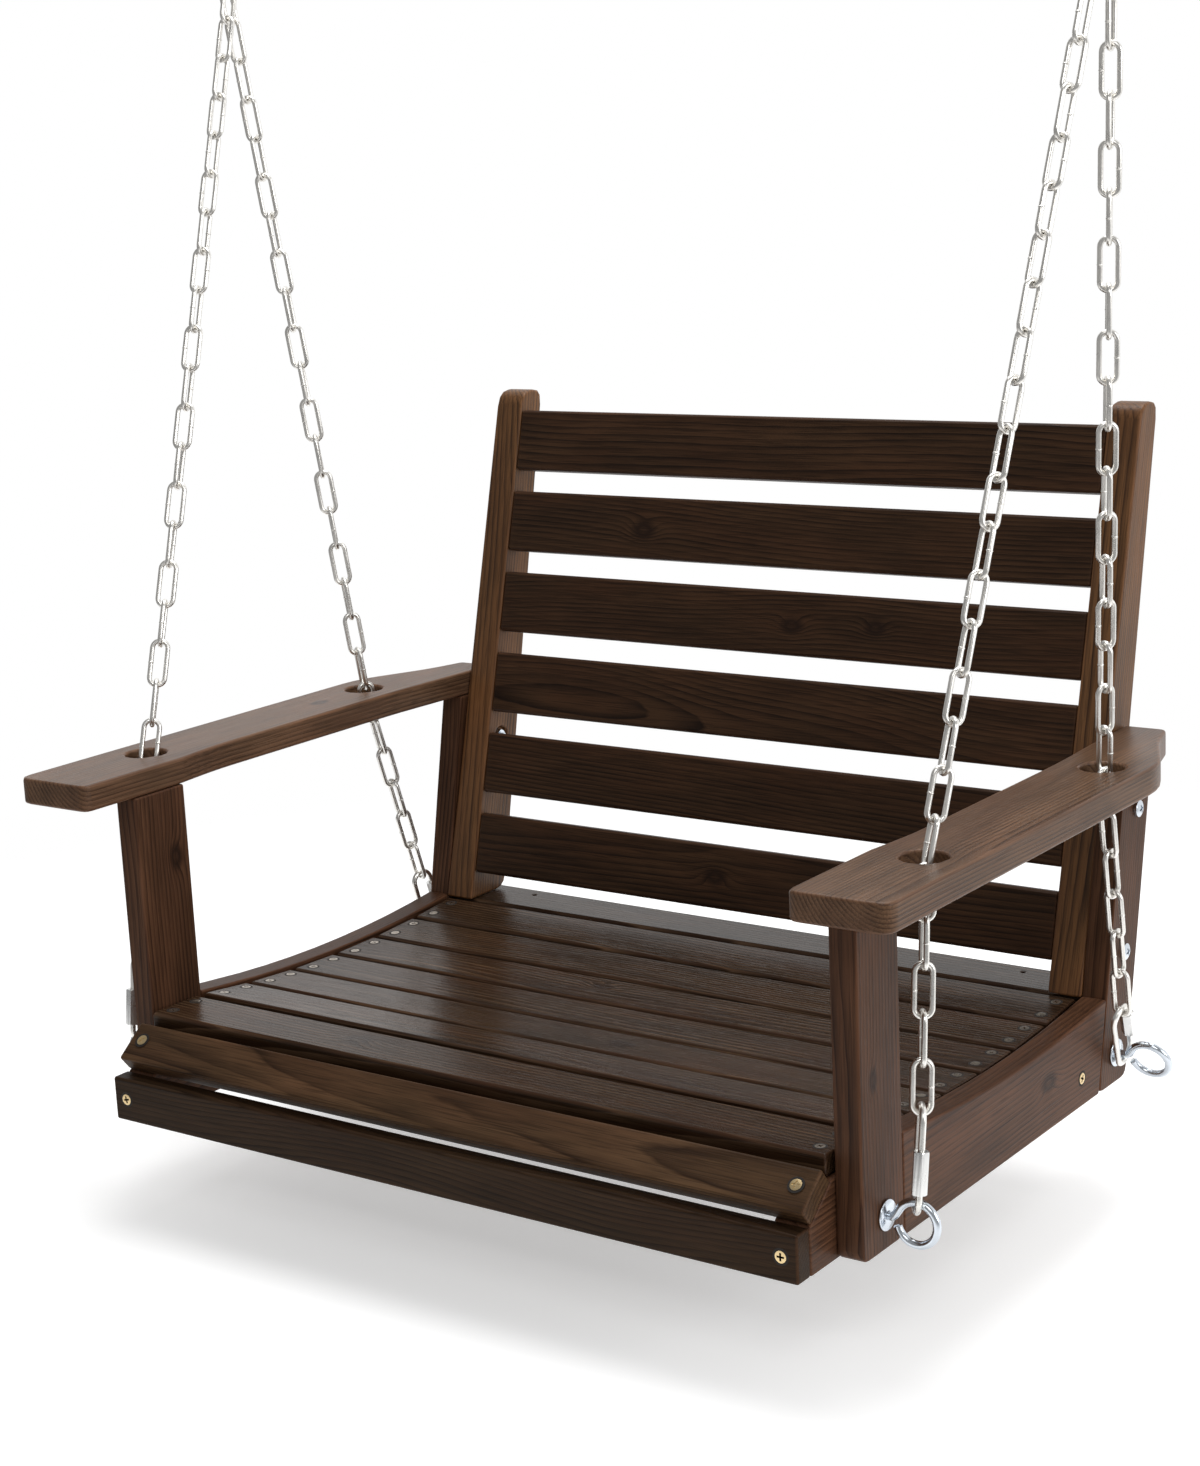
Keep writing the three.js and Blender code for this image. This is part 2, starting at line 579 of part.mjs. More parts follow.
// The link takes hold of the eye bolt on the ring's top in front, and on the shank behind.
for (const { end, side, axis, face } of hangs) {
  const label = `${end}_${side > 0 ? 'right' : 'left'}`;
  const along = new THREE.Vector3(...axis).normalize();
  const towards = new THREE.Vector3(...face);
  const { up, standOff } = eyes[end];
  const ringTop = (eyeBolt.ringDiameter - eyeBolt.wire) / 2 - eyeBolt.ringDrop;
  const rise = end === 'front' ? ringTop : 0;
  const holdX = end === 'front' ? sideOuterX + standOff : sideOuterX + shankHold;
  const held = new THREE.Vector3(side * holdX, eyeBoltY[end] + rise * up.y, eyeBolt.height + rise * up.z);
  const pull = new THREE.Vector3(0, along.y, along.z).normalize();
  const drop = (quickLink.wire + eyeBolt.wire) / 2 + endRise(eyeBolt.wire / 2) + boreClearance;
  const low = held.clone().addScaledVector(pull, -drop);
  addQuickLink(`quick_link_${label}`, `sleeve_${label}`, linkFrame(low, along, towards), end === 'rear');

  // The chain settles where its pull meets the round upper end of the link squarely.
  const linkWide = towards.clone().addScaledVector(along, -towards.dot(along)).normalize();
  const linkNormal = along.clone().cross(linkWide);
  const kink = new THREE.Vector3(side * armHoleX, armHoleY[end] + chainTouch[end], armMiddle);
  const bendCentre = low.clone().addScaledVector(along, linkSpan - linkRadius);
  const chainPull = kink.clone().sub(bendCentre);
  chainPull.addScaledVector(linkNormal, -chainPull.dot(linkNormal)).normalize();
  const seatPoint = bendCentre.clone().addScaledVector(chainPull, linkRadius);
  const lowEnd = kink.clone().sub(seatPoint).setLength(
    -(quickLink.wire / 2 + chain.hookGap + endRise(chain.wire / 2) + chain.bite / 2)).add(seatPoint);
  const spread = chain.spread * (end === 'front' ? -1 : 1);
  const hangPoint = new THREE.Vector3(side * (hanger.x + spread), hanger.y, hanger.z);
  const highEnd = hangPoint.clone().sub(kink).setLength(
    quickLink.wire / 2 + chain.hangGap + endRise(chain.spread + chain.wire / 2) + chain.bite / 2).add(hangPoint);
  add(`chain_${label}`, chainSolid(
    lowEnd, kink, highEnd, linkNormal, new THREE.Vector3(0, 1, 0)), steel);
}

// Top hangers: quick links across the swing, so that the chains roll on their lower wire.
for (const [label, side] of sides) {
  const frame = linkFrame(new THREE.Vector3(side * hanger.x, hanger.y, hanger.z),
    new THREE.Vector3(0, 0, 1), new THREE.Vector3(side, 0, 0));
  addQuickLink(`hanger_${label}`, `hanger_sleeve_${label}`, frame, false);
}

export default seat;
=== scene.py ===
# A hanging timber porch swing: eased stained boards, welded chains, quick links, eye bolts and
# screws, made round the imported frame. Metres, in the frame's own axes: +X right, +Y back, +Z up.
import math
import random

import bmesh
import bpy
from mathutils import Matrix, Vector


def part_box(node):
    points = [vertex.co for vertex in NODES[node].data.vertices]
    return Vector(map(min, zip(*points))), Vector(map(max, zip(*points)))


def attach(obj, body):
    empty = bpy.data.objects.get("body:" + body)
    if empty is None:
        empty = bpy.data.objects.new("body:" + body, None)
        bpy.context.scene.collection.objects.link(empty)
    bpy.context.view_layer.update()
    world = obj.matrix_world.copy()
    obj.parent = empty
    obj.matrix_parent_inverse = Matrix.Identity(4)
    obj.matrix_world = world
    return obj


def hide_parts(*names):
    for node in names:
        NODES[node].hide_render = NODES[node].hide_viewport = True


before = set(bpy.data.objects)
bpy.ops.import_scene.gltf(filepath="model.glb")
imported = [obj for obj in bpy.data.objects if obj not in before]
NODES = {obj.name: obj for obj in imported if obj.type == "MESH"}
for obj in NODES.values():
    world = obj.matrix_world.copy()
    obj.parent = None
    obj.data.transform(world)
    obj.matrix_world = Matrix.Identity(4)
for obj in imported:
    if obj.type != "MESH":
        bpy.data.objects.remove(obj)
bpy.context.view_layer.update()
SIDES = (("left", -1), ("right", 1))
ENDS = ("front", "rear")
MM = 0.001

# ------------------------------------------------------------------ places taken from the frame

apron_low, apron_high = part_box("apron")


def laid(x, y, z):
    """A point given in millimetres from the apron's front face and the rails' underside."""
    return Vector((x * MM, apron_low.y + y * MM, apron_low.z + z * MM))


def middle(node):
    low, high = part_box(node)
    return (low + high) / 2


# ------------------------------------------------------------------ sizes of the fine hardware (mm)

CHAIN = {"wire": 4.0, "pitch": 32.0, "width": 16.5, "bite": 0.8, "spread": 2.9,
         "hook_gap": 0.7, "hang_gap": 1.2}
LINK = {"wire": 4.8, "length": 77.3, "inner": 14.0, "mouth": 7.0, "mouth_start": 18.0,
        "sleeve": 10.0, "sleeve_length": 29.5, "sleeve_start": 14.5}
EYE = {"wire": 6.0, "ring": 36.5, "drop": 1.5, "clearance": 0.4, "opening": 12.0,
       "front_stand_off": 23.4, "rear_stand_off": 28.7, "rear_tilt": -26.5, "shank_hold": 6.7}
GAP = 0.3
THREAD_GAP = 0.25
WASHER_EDGE = 0.4
NUT = {"across_flats": 10.0, "height": 5.0, "bore": 2.8}
# Radii of the backrest bolts' heads and threads.
BACK_BOLT = {"head": 6.6, "head_height": 4.0, "thread": 3.0, "root": 2.55, "turns": 9}
POCKET_DEPTH = 0.3
# A screw's head: its radius, and how far its dome stands out.
FRAME_SCREW = {"radius": 4.4, "proud": 0.5}
SLAT_SCREW = {"radius": 3.7, "proud": 0.25}
SCREW_IN = 13.0  # from the ends of the apron and the nose board
APRON_SCREW_HEIGHT = 18.0
NOSE_SCREW = (21.8, 60.6)  # back and up from the apron's lower front edge
RAIL_SCREWS = ((131.8, 24.9), (381.9, 22.8))
SLAT_SCREW_IN = 11.2
SLAT_SCREW_OFF = 12.9
SLAT = {"thickness": 16.0, "edge": 2.5, "end_band": 8.0}
NOSE_SLOPE = math.radians(38.6)
CHAIN_TOUCH = {"front": 1.0, "rear": 4.0}  # behind the middle of the arm hole
BACK_POST_WIDTH = 48.4
ARM_HOLE = {"in": 41.0, "front_behind_post": 1.0, "rear_before_post": 85.8}
ARM_END_SHORT = 2.0  # the armrest's rear end, in front of the back post's rear face
# The direction of each quick link from its eye bolt, and the side that its sleeve faces.
HANGS = {
    ("front", 1): ((0.01, 0.13, 0.99), (0.59, -0.81, 0)),
    ("front", -1): ((-0.01, 0.13, 0.99), (-0.59, -0.81, 0)),
    ("rear", 1): ((0.215, -0.627, 0.748), (0.18, 0.79, 0.59)),
    ("rear", -1): ((-0.054, -0.234, 0.971), (0.2, 0.97, 0.2)),
}
Z_TO_X = Matrix.Rotation(math.pi / 2, 4, "Y")
LINK_RADIUS = (LINK["inner"] + LINK["wire"]) / 2
LINK_SPAN = LINK["length"] - LINK["wire"]


# ------------------------------------------------------------------ shader maths

class Value:
    """A shader socket that adds a Math node for each operator used on it."""

    def __init__(self, graph, socket):
        self.graph, self.socket = graph, socket

    def math(self, operation, *others):
        made = self.graph.node("ShaderNodeMath", {"operation": operation}, self, *others)
        return Value(self.graph, made.outputs[0])

    def __add__(self, other):
        return self.math("ADD", other)

    def __sub__(self, other):
        if isinstance(other, Vector):
            made = self.graph.node("ShaderNodeVectorMath", {"operation": "SUBTRACT"}, self, tuple(other))
            return Value(self.graph, made.outputs[0])
        return self.math("SUBTRACT", other)

    def __mul__(self, other):
        return self.math("MULTIPLY", other)

    def __truediv__(self, other):
        return self.math("DIVIDE", other)

    def __pow__(self, other):
        return self.math("POWER", other)

    def __rsub__(self, other):
        return (self * -1) + other

    __radd__ = __add__
    __rmul__ = __mul__


class Graph:
    """One material and the nodes in it."""

    def __init__(self, name):
        self.material = bpy.data.materials.new(name)
        self.material.use_nodes = True
        self.tree = self.material.node_tree
        self.shader = self.tree.nodes["Principled BSDF"]
        coordinates = self.tree.nodes.new("ShaderNodeTexCoord")
        self.place = Value(self, coordinates.outputs["Object"])

    def node(self, kind, settings=None, *values, **named):
        made = self.tree.nodes.new(kind)
        for key, value in (settings or {}).items():
            if key == "stops":
                while len(made.color_ramp.elements) < len(value):
                    made.color_ramp.elements.new(0.5)
                for element, (position, shade) in zip(made.color_ramp.elements, value):
                    element.position, element.color = position, (shade, shade, shade, 1)
            else:
                setattr(made, key, value)
        for key, value in list(enumerate(values)) + list(named.items()):
            self.feed(made.inputs[key], value)
        return made

    def feed(self, socket, value):
        if isinstance(value, Value):
            self.tree.links.new(value.socket, socket)
        else:
            socket.default_value = value

    def dot(self, place, direction):
        made = self.node("ShaderNodeVectorMath", {"operation": "DOT_PRODUCT"}, place, tuple(direction))
        return Value(self, made.outputs["Value"])

    def vector(self, x, y, z):
        return Value(self, self.node("ShaderNodeCombineXYZ", None, x, y, z).outputs[0])

    def noise(self, place, scale, detail=2.0, rough=0.5):
        made = self.node(
            "ShaderNodeTexNoise", None, Vector=place, Scale=scale, Detail=detail, Roughness=rough)
        return Value(self, made.outputs["Fac"])

    def ramp(self, value, stops):
        made = self.node("ShaderNodeValToRGB", {"stops": stops}, value)
        return Value(self, made.outputs["Color"])

    def mix(self, factor, first, second, blend="MIX"):
        made = self.node("ShaderNodeMix", {"data_type": "RGBA", "blend_type": blend})
        for socket, value in ((made.inputs[0], factor), (made.inputs[6], first), (made.inputs[7], second)):
            self.feed(socket, value if isinstance(value, (Value, float)) else (*value, 1.0))
        return Value(self, made.outputs[2])

    def attribute(self, name):
        return Value(self, self.node("ShaderNodeAttribute", {"attribute_name": name}).outputs["Fac"])

    def bump(self, height, distance, strength=1.0):
        made = self.node("ShaderNodeBump", None, Height=height, Distance=distance, Strength=strength)
        self.tree.links.new(made.outputs[0], self.shader.inputs["Normal"])

    def set(self, **named):
        for name, value in named.items():
            self.feed(self.shader.inputs[name.replace("_", " ")], value)
        return self.material


# ------------------------------------------------------------------ wood

# For each group of boards: the stain on early and late wood and in reddish patches, how strongly the
# rings show, and the finish.
STAINS = {
    "back": {
        "early": (0.050, 0.0245, 0.0118), "late": (0.010, 0.0048, 0.0028), "red": (0.058, 0.0235, 0.0108),
        "rings": 1.0, "rough": 0.46, "coat": 0.0, "sheen": 0.12},
    "seat": {
        "early": (0.024, 0.0122, 0.0058), "late": (0.090, 0.0520, 0.0290), "red": (0.044, 0.0180, 0.0088),
        "rings": 1.0, "rough": 0.25, "coat": 0.0, "sheen": 0.13},
    # The armrests' stain is lighter than the frame's, in part as painted light on their tops.
    "arm": {
        "early": (0.135, 0.074, 0.041), "late": (0.030, 0.014, 0.0075), "red": (0.130, 0.060, 0.033),
        "rings": 1.0, "rough": 0.36, "coat": 0.02, "sheen": 0.16},
    "front": {
        "early": (0.082, 0.045, 0.0225), "late": (0.018, 0.0088, 0.0048), "red": (0.078, 0.0350, 0.0180),
        "rings": 0.95, "rough": 0.42, "coat": 0.0, "sheen": 0.07},
    "frame": {
        "early": (0.086, 0.039, 0.0200), "late": (0.018, 0.0075, 0.0042), "red": (0.094, 0.039, 0.0200),
        "rings": 1.0, "rough": 0.42, "coat": 0.0, "sheen": 0.10},
    "upright": {
        "early": (0.165, 0.076, 0.0290), "late": (0.020, 0.0085, 0.0038), "red": (0.140, 0.057, 0.0215),
        "rings": 1.0, "rough": 0.42, "coat": 0.03, "sheen": 0.20},
}


def wood(name, stain, grain, wide, centre, seed, knots=(), tone=1.0):
    """Flat-sawn boards: growth rings about a pith that runs beside the board, cut by its faces."""
    chance = random.Random(seed)
    look = STAINS[stain]
    g = Graph(name)
    grain = Vector(grain).normalized()
    thin = grain.cross(wide).normalized()
    wide = thin.cross(grain).normalized()
    u = g.dot(g.place, grain) - centre.dot(grain)
    v = g.dot(g.place, wide) - centre.dot(wide)
    w = g.dot(g.place, thin) - centre.dot(thin)

    drift = chance.uniform(0, 50)
    slow = g.noise(g.vector(u + drift, v * 0.6, w * 0.6), 2.3, 1.0)
    fine = g.noise(g.vector(u + drift, v * 6.0, w * 6.0), 9.0, 3.0, 0.6)
    pith_v = chance.choice((-1, 1)) * chance.uniform(0.02, 0.085)
    pith_w = -chance.uniform(0.02, 0.05)
    tilt = chance.uniform(-0.05, 0.05)
    across = v - pith_v - u * tilt + (slow - 0.5) * 0.035
    through = w - pith_w + (slow - 0.5) * 0.012
    radius = (across * across + through * through) ** 0.5
    spot = None
    for knot_u, knot_v, size in knots:
        du, dv = (u - knot_u) / 1.7, v - knot_v
        near = ((du * du + dv * dv) / (size * size) * -1.0).math("EXPONENT")
        radius = radius + near * (size * 0.8)
        spot = near if spot is None else spot.math("MAXIMUM", near)
    rings = radius / chance.uniform(0.0030, 0.0042) + fine * 0.6 + slow * 1.5
    late = g.ramp(rings.math("FRACT"), [(0.0, 0.0), (0.35, 0.06), (0.75, 0.65), (0.92, 1.0), (1.0, 0.0)])
    wander = g.noise(g.vector(u * 2.2 + drift, v * 34.0, w * 34.0), 3.0, 3.0, 0.6)
    late = late * g.ramp(wander, [(0.0, 0.4), (0.38, 0.5), (0.60, 1.0), (1.0, 1.0)])
    fibre = g.noise(g.vector(u * 7.0 + drift, v * 300.0, w * 300.0), 3.0, 4.0, 0.7)
    pores = g.ramp(g.noise(g.vector(u * 12.0, v * 520.0, w * 520.0), 2.0, 1.0),
                   [(0.0, 1.0), (0.36, 1.0), (0.46, 0.0), (1.0, 0.0)])
    cloud = g.noise(g.vector(u * 2.4 + drift, v * 12.0, w * 12.0), 3.0, 3.0, 0.6)
    red = g.ramp(g.noise(g.vector(u * 3.0 - drift, v * 10.0, w * 10.0), 2.5, 2.0),
                 [(0.0, 0.0), (0.42, 0.0), (0.68, 1.0), (1.0, 1.0)])

    colour = g.mix(late * look["rings"], look["early"], look["late"])
    colour = g.mix(red * 0.5 * (late * -0.8 + 1.0), colour, look["red"])
    # tone scales the whole board's colour; the apron's tone below 1 is painted shade.
    shade = ((fibre - 0.5) + (cloud - 0.5) * 1.5 + 1.0) * tone
    colour = g.mix(1.0, colour, g.vector(shade, shade, shade), "MULTIPLY")
    colour = g.mix(pores * 0.5, colour, tuple(0.3 * c for c in look["early"]))
    if spot is not None:
        heart = g.ramp(spot, [(0.0, 0.0), (0.42, 0.0), (0.66, 0.6), (0.86, 1.0), (1.0, 0.55)])
        colour = g.mix(heart * 0.85, colour, (0.014, 0.0065, 0.0040))
    # Painted highlight: the rounded edges are lightened towards a pale red, broken up by the fine noise.
    eased = g.attribute("eased") * g.ramp(fine, [(0.0, 0.3), (0.4, 0.55), (0.65, 1.0), (1.0, 1.0)])
    colour = g.mix(eased * 0.22, colour, tuple(1.9 * c for c in look["red"]))
    g.bump(late * 0.4 + fibre * 0.25 - pores * 0.3, 0.00035, 0.5)
    return g.set(Base_Color=colour, Roughness=(fibre - 0.5) * 0.22 - late * 0.05 + look["rough"],
                 Coat_Weight=look["coat"], Coat_Roughness=0.22, Specular_IOR_Level=look["sheen"])


def cleaned(node):
    """A copy of a frame node's mesh with its loose triangles joined into whole faces."""
    mesh = NODES[node].data.copy()
    shape = bmesh.new()
    shape.from_mesh(mesh)
    bmesh.ops.remove_doubles(shape, verts=shape.verts, dist=2e-6)
    bmesh.ops.dissolve_limit(shape, angle_limit=math.radians(1), verts=shape.verts, edges=shape.edges)
    for face in shape.faces:
        face.smooth = True
    shape.to_mesh(mesh)
    shape.free()
    return mesh


def finished(piece):
    """Turns the piece into a plain mesh with its modifiers applied."""
    graph = bpy.context.evaluated_depsgraph_get()
    mesh = bpy.data.meshes.new_from_object(
        piece.evaluated_get(graph), preserve_all_data_layers=True, depsgraph=graph)
    piece.modifiers.clear()
    piece.data = mesh


def placed(name, mesh):
    piece = bpy.data.objects.new(name, mesh)
    bpy.context.scene.collection.objects.link(piece)
    return piece


def mark_painted_edge_highlight(mesh):
    """Turns the bevel's own faces into a float attribute that fades out at their borders: the mask of a
    painted highlight along the rounded edges.
    """
    rounded = [polygon.material_index == 1 for polygon in mesh.polygons]
    touching = {}
    for polygon, is_rounded in zip(mesh.polygons, rounded):
        for vertex in polygon.vertices:
            touching.setdefault(vertex, []).append(is_rounded)
    layer = mesh.attributes.new("eased", "FLOAT", "CORNER")
    for polygon, is_rounded in zip(mesh.polygons, rounded):
        for corner in polygon.loop_indices:
            whole = all(touching[mesh.loops[corner].vertex_index])
            layer.data[corner].value = (1.0 if whole else 0.35) if is_rounded else 0.0
        polygon.material_index = 0


def board(node, stain, grain, ease=1.8, seed=0, knots=(), tone=1.0):
    """A board with eased edges that stands for a frame node."""
    piece = placed(f"board_{node}", cleaned(node))
    low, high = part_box(node)
    lengthwise = max(range(3), key=lambda axis: grain[axis])
    crosswise = [axis for axis in range(3) if axis != lengthwise]
    widthwise = max(crosswise, key=lambda axis: (high - low)[axis])
    wide = Vector([float(axis == widthwise) for axis in range(3)])
    material = wood(f"wood_{node}", stain, grain, wide, middle(node), seed, knots, tone)
    piece.data.materials.clear()
    piece.data.materials.append(material)
    piece.data.materials.append(material)
    bevel = piece.modifiers.new("ease", "BEVEL")
    bevel.width, bevel.segments, bevel.material = ease * MM, 3, 1
    bevel.limit_method, bevel.angle_limit = "ANGLE", math.radians(42)
    bevel.use_clamp_overlap = False
    weigh = piece.modifiers.new("flatten", "WEIGHTED_NORMAL")
    weigh.weight = 100
    finished(piece)
    # Marks the bevel faces that carry the painted edge highlight.
    mark_painted_edge_highlight(piece.data)
    piece.data.materials.pop(index=1)
    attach(piece, "swing")
    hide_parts(node)


ALONG_X, ALONG_Y, ALONG_Z = (1, 0, 0), (0, 1, 0), (0, 0, 1)
POST_LEAN, UPRIGHT_LEAN = (0, 0.2, 1), (0, 0.24, 1)

# Knots, each by its place along and across the board from the board's middle, and its radius.
SEAT_KNOTS = {
    1: [(-0.12, 0.004, 0.011)],
    3: [(0.05, 0.0, 0.010)],
    5: [(-0.05, 0.006, 0.008), (0.21, -0.006, 0.007)],
}
BACK_KNOTS = {
    2: [(-0.14, 0.0, 0.010)],
    3: [(0.02, 0.0, 0.009), (0.10, 0.003, 0.008)],
    6: [(-0.03, 0.002, 0.009)],
}
POST_KNOTS = {"left": [(0.068, 0.012, 0.009)], "right": [(0.0, -0.010, 0.007)]}
ARM_KNOTS = {"left": [(0.06, 0.0, 0.008)], "right": [(-0.155, 0.012, 0.010)]}
RAIL_KNOTS = [(0.06, 0.0, 0.010)]

# The apron is darkened to 0.42 of its stain: painted shade.
board("apron", "front", ALONG_X, seed=3, tone=0.42)
board("nose_board", "front", ALONG_X, seed=11)
for number in range(1, 8):
    board(f"seat_slat_{number}", "seat", ALONG_X, seed=20 + number, knots=SEAT_KNOTS.get(number, ()))
board("rear_slat", "seat", ALONG_X, seed=29)
for number in range(1, 7):
    board(f"back_slat_{number}", "back", ALONG_X, seed=40 + number, knots=BACK_KNOTS.get(number, ()))
for turn, (label, side) in enumerate(SIDES):
    board(f"inner_rail_{label}", "frame", ALONG_Y, seed=60 + turn)
    board(f"outer_rail_{label}", "frame", ALONG_Y, seed=64 + turn, knots=RAIL_KNOTS)
    board(f"front_post_{label}", "frame", ALONG_Z, seed=68 + turn, knots=POST_KNOTS[label])
    board(f"back_post_{label}", "frame", POST_LEAN, seed=72 + turn)
    board(f"upright_{label}", "upright", UPRIGHT_LEAN, ease=2.4, seed=76 + turn)
    board(f"armrest_{label}", "arm", ALONG_Y, ease=2.4, seed=80 + turn, knots=ARM_KNOTS[label])


# ------------------------------------------------------------------ metals

def metal(name, colour, rough, streak):
    g = Graph(name)
    cloud = g.noise(g.place, 70.0, 2.0)
    grit = g.noise(g.place, 700.0, 1.0)
    shade = (cloud - 0.5) * streak + 1.0
    tone = g.mix(1.0, colour, g.vector(shade, shade, shade), "MULTIPLY")
    g.bump(cloud * 0.8 + grit * 0.2, 0.00006, 0.3)
    return g.set(Base_Color=tone, Metallic=1.0, Roughness=(cloud - 0.5) * 0.18 + (grit - 0.5) * 0.1 + rough)


CHAIN_STEEL = metal("bright_chain_steel", (0.86, 0.84, 0.80), 0.30, 0.3)
ZINC_STEEL = metal("zinc_plated_steel", (0.66, 0.71, 0.77), 0.22, 0.25)
SLEEVE_STEEL = metal("sleeve_steel", (0.78, 0.78, 0.77), 0.30, 0.2)
BRASS_SCREW = metal("yellow_screw_plating", (0.72, 0.55, 0.30), 0.30, 0.3)
ZINC_SCREW = metal("white_screw_plating", (0.46, 0.41, 0.35), 0.30, 0.3)


# Painted shade: a near-black finish for the shade inside the screws' countersunk pockets.
def painted_pocket_shade():
    g = Graph("painted_screw_pocket_shade")
    # Noise that speckles the painted pocket shade.
    shade_speckle = g.noise(g.place, 1200.0, 2.0)
    return g.set(Base_Color=g.mix(shade_speckle, (0.006, 0.004, 0.003), (0.016, 0.010, 0.007)), Roughness=0.8)


POCKET_SHADE = painted_pocket_shade()


# ------------------------------------------------------------------ wire and turned shapes

def circle(sides):
    """The cosine and sine of each of the angles round a circle."""
    angles = (2 * math.pi * k / sides for k in range(sides))
    return [(math.cos(a), math.sin(a)) for a in angles]


def shaded(shape, name, sharp_angle=40.0):
    """Makes a mesh of a bmesh: smooth, but sharp over edges that turn more than the angle."""
    bmesh.ops.recalc_face_normals(shape, faces=shape.faces)
    for face in shape.faces:
        face.smooth = True
    for edge in shape.edges:
        if len(edge.link_faces) == 2 and edge.calc_face_angle(0.0) > math.radians(sharp_angle):
            edge.smooth = False
    mesh = bpy.data.meshes.new(name)
    shape.to_mesh(mesh)
    shape.free()
    return mesh


def rings_to_shape(shape, rings, closed=False):
    """Skins equal rings of points into a tube, with end caps unless it closes on itself."""
    loops = [[shape.verts.new(point) for point in ring] for ring in rings]
    pairs = list(zip(loops, loops[1:])) + ([(loops[-1], loops[0])] if closed else [])
    count = len(loops[0])
    for a, b in pairs:
        for i in range(count):
            shape.faces.new((a[i], a[(i + 1) % count], b[(i + 1) % count], b[i]))
    if not closed:
        shape.faces.new(list(reversed(loops[0])))
        shape.faces.new(loops[-1])


def wire_rings(points, radius, sides, first_normal):
    """Rings across a path, each carried on from the last without twist. radius is a number or a
    function of the share of the path's points that lies behind."""
    rings, normal = [], first_normal
    for i, point in enumerate(points):
        along = (points[min(i + 1, len(points) - 1)] - points[max(i - 1, 0)]).normalized()
        normal = (normal - along * normal.dot(along)).normalized()
        other = along.cross(normal)
        size = radius(i / (len(points) - 1)) if callable(radius) else radius
        rings.append([point + (normal * c + other * s) * size for c, s in circle(sides)])
    return rings


def turned(shape, profile, sides, base, axis):
    """A closed turned shape: profile is (distance along axis, radius) from end to end, in mm."""
    axis = axis.normalized()
    first = axis.orthogonal().normalized()
    other = axis.cross(first)
    rings = [[base + axis * along * MM + (first * c + other * s) * radius * MM for c, s in circle(sides)]
             for along, radius in profile]
    rings_to_shape(shape, rings)


def hex_points(across_flats, count=24):
    """Points round a hexagon, the same number on each side; corners come round evenly."""
    reach = across_flats / math.sqrt(3)
    corners = [Vector((math.cos(a), math.sin(a))) * reach for a in (math.pi * k / 3 for k in range(7))]
    per_side = count // 6
    points = []
    for start, end in zip(corners, corners[1:]):
        points += [start.lerp(end, i / per_side) for i in range(per_side)]
    return points


def hexagon_tube(shape, across_flats, bore, length, place, chamfer=0.8):
    """A hexagonal nut or sleeve along its own Z, bored through, with its ends' corners turned down."""
    hexagon = hex_points(across_flats)
    limit = across_flats / 2 * 1.03
    turned_down = [point.normalized() * min(point.length, limit) for point in hexagon]
    round_bore = [point.normalized() * bore for point in hexagon]
    sections = [(round_bore, 0.3), (turned_down, 0.0), (hexagon, chamfer), (hexagon, length - chamfer),
                (turned_down, length), (round_bore, length - 0.3)]
    rings = [[place @ (Vector((p.x, p.y, z)) * MM) for p in ring] for ring, z in sections]
    rings_to_shape(shape, rings, closed=True)


def metal_piece(name, shape, material, body, node, sharp=40.0):
    """A steel piece that stands for a frame node; edges that turn more than `sharp` stay crisp."""
    piece = placed(name, shaded(shape, name, sharp))
    piece.data.materials.append(material)
    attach(piece, body)
    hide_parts(node)


# ------------------------------------------------------------------ quick links

def link_path(upper, step=2.2):
    """The wire of a quick link in its own X and Z, from one side of its mouth round to the other."""
    straight = LINK_SPAN - 2 * LINK_RADIUS
    bend = math.pi * LINK_RADIUS
    total = 2 * (straight + bend) - LINK["mouth"]
    points = []
    for i in range(round(total / step) + 1):
        s = total * i / round(total / step)
        x, z = LINK_RADIUS, LINK["mouth_start"] - s
        s -= LINK["mouth_start"] - LINK_RADIUS
        if s > 0:
            turn = min(s, bend) / LINK_RADIUS
            x, z = LINK_RADIUS * math.cos(turn), LINK_RADIUS - LINK_RADIUS * math.sin(turn)
            s -= bend
        if s > 0:
            x, z = -LINK_RADIUS, LINK_RADIUS + min(s, straight)
            s -= straight
        if s > 0:
            turn = min(s, bend) / LINK_RADIUS
            x, z = -LINK_RADIUS * math.cos(turn), LINK_SPAN - LINK_RADIUS + LINK_RADIUS * math.sin(turn)
            s -= bend
        if s > 0:
            x, z = LINK_RADIUS, LINK_SPAN - LINK_RADIUS - s
        points.append(Vector((x, 0, LINK_SPAN - z if upper else z)))
    return points


def standing(low, axis, face):
    """The matrix of a link that stands from `low` along `axis` with its sleeve towards `face`."""
    along = Vector(axis).normalized()
    wide = (Vector(face) - along * Vector(face).dot(along)).normalized()
    turn = Matrix((wide, along.cross(wide), along)).transposed().to_4x4()
    return Matrix.Translation(low) @ turn


def quick_link(name, node, sleeve_node, place, upper, body):
    shape = bmesh.new()
    points = [place @ (p * MM) for p in link_path(upper)]
    normal = (place.to_3x3() @ Vector((0, 1, 0))).normalized()
    rings_to_shape(shape, wire_rings(points, LINK["wire"] / 2 * MM, 14, normal))
    metal_piece(name, shape, CHAIN_STEEL, body, node)
    shape = bmesh.new()
    low = LINK_SPAN - LINK["sleeve_start"] - LINK["sleeve_length"] if upper else LINK["sleeve_start"]
    seat = place @ Matrix.Translation(Vector((LINK_RADIUS, 0, low)) * MM)
    bore = LINK["wire"] / 2 + THREAD_GAP
    hexagon_tube(shape, LINK["sleeve"], bore, LINK["sleeve_length"], seat, chamfer=0.7)
    metal_piece(f"{sleeve_node}_hexagon", shape, SLEEVE_STEEL, f"{sleeve_node}_body",
                sleeve_node, sharp=25.0)


# ------------------------------------------------------------------ chains

def end_rise(half_width):
    return LINK_RADIUS - math.sqrt(LINK_RADIUS ** 2 - half_width ** 2)


def squared(vector, along):
    return (vector - along * vector.dot(along)).normalized()


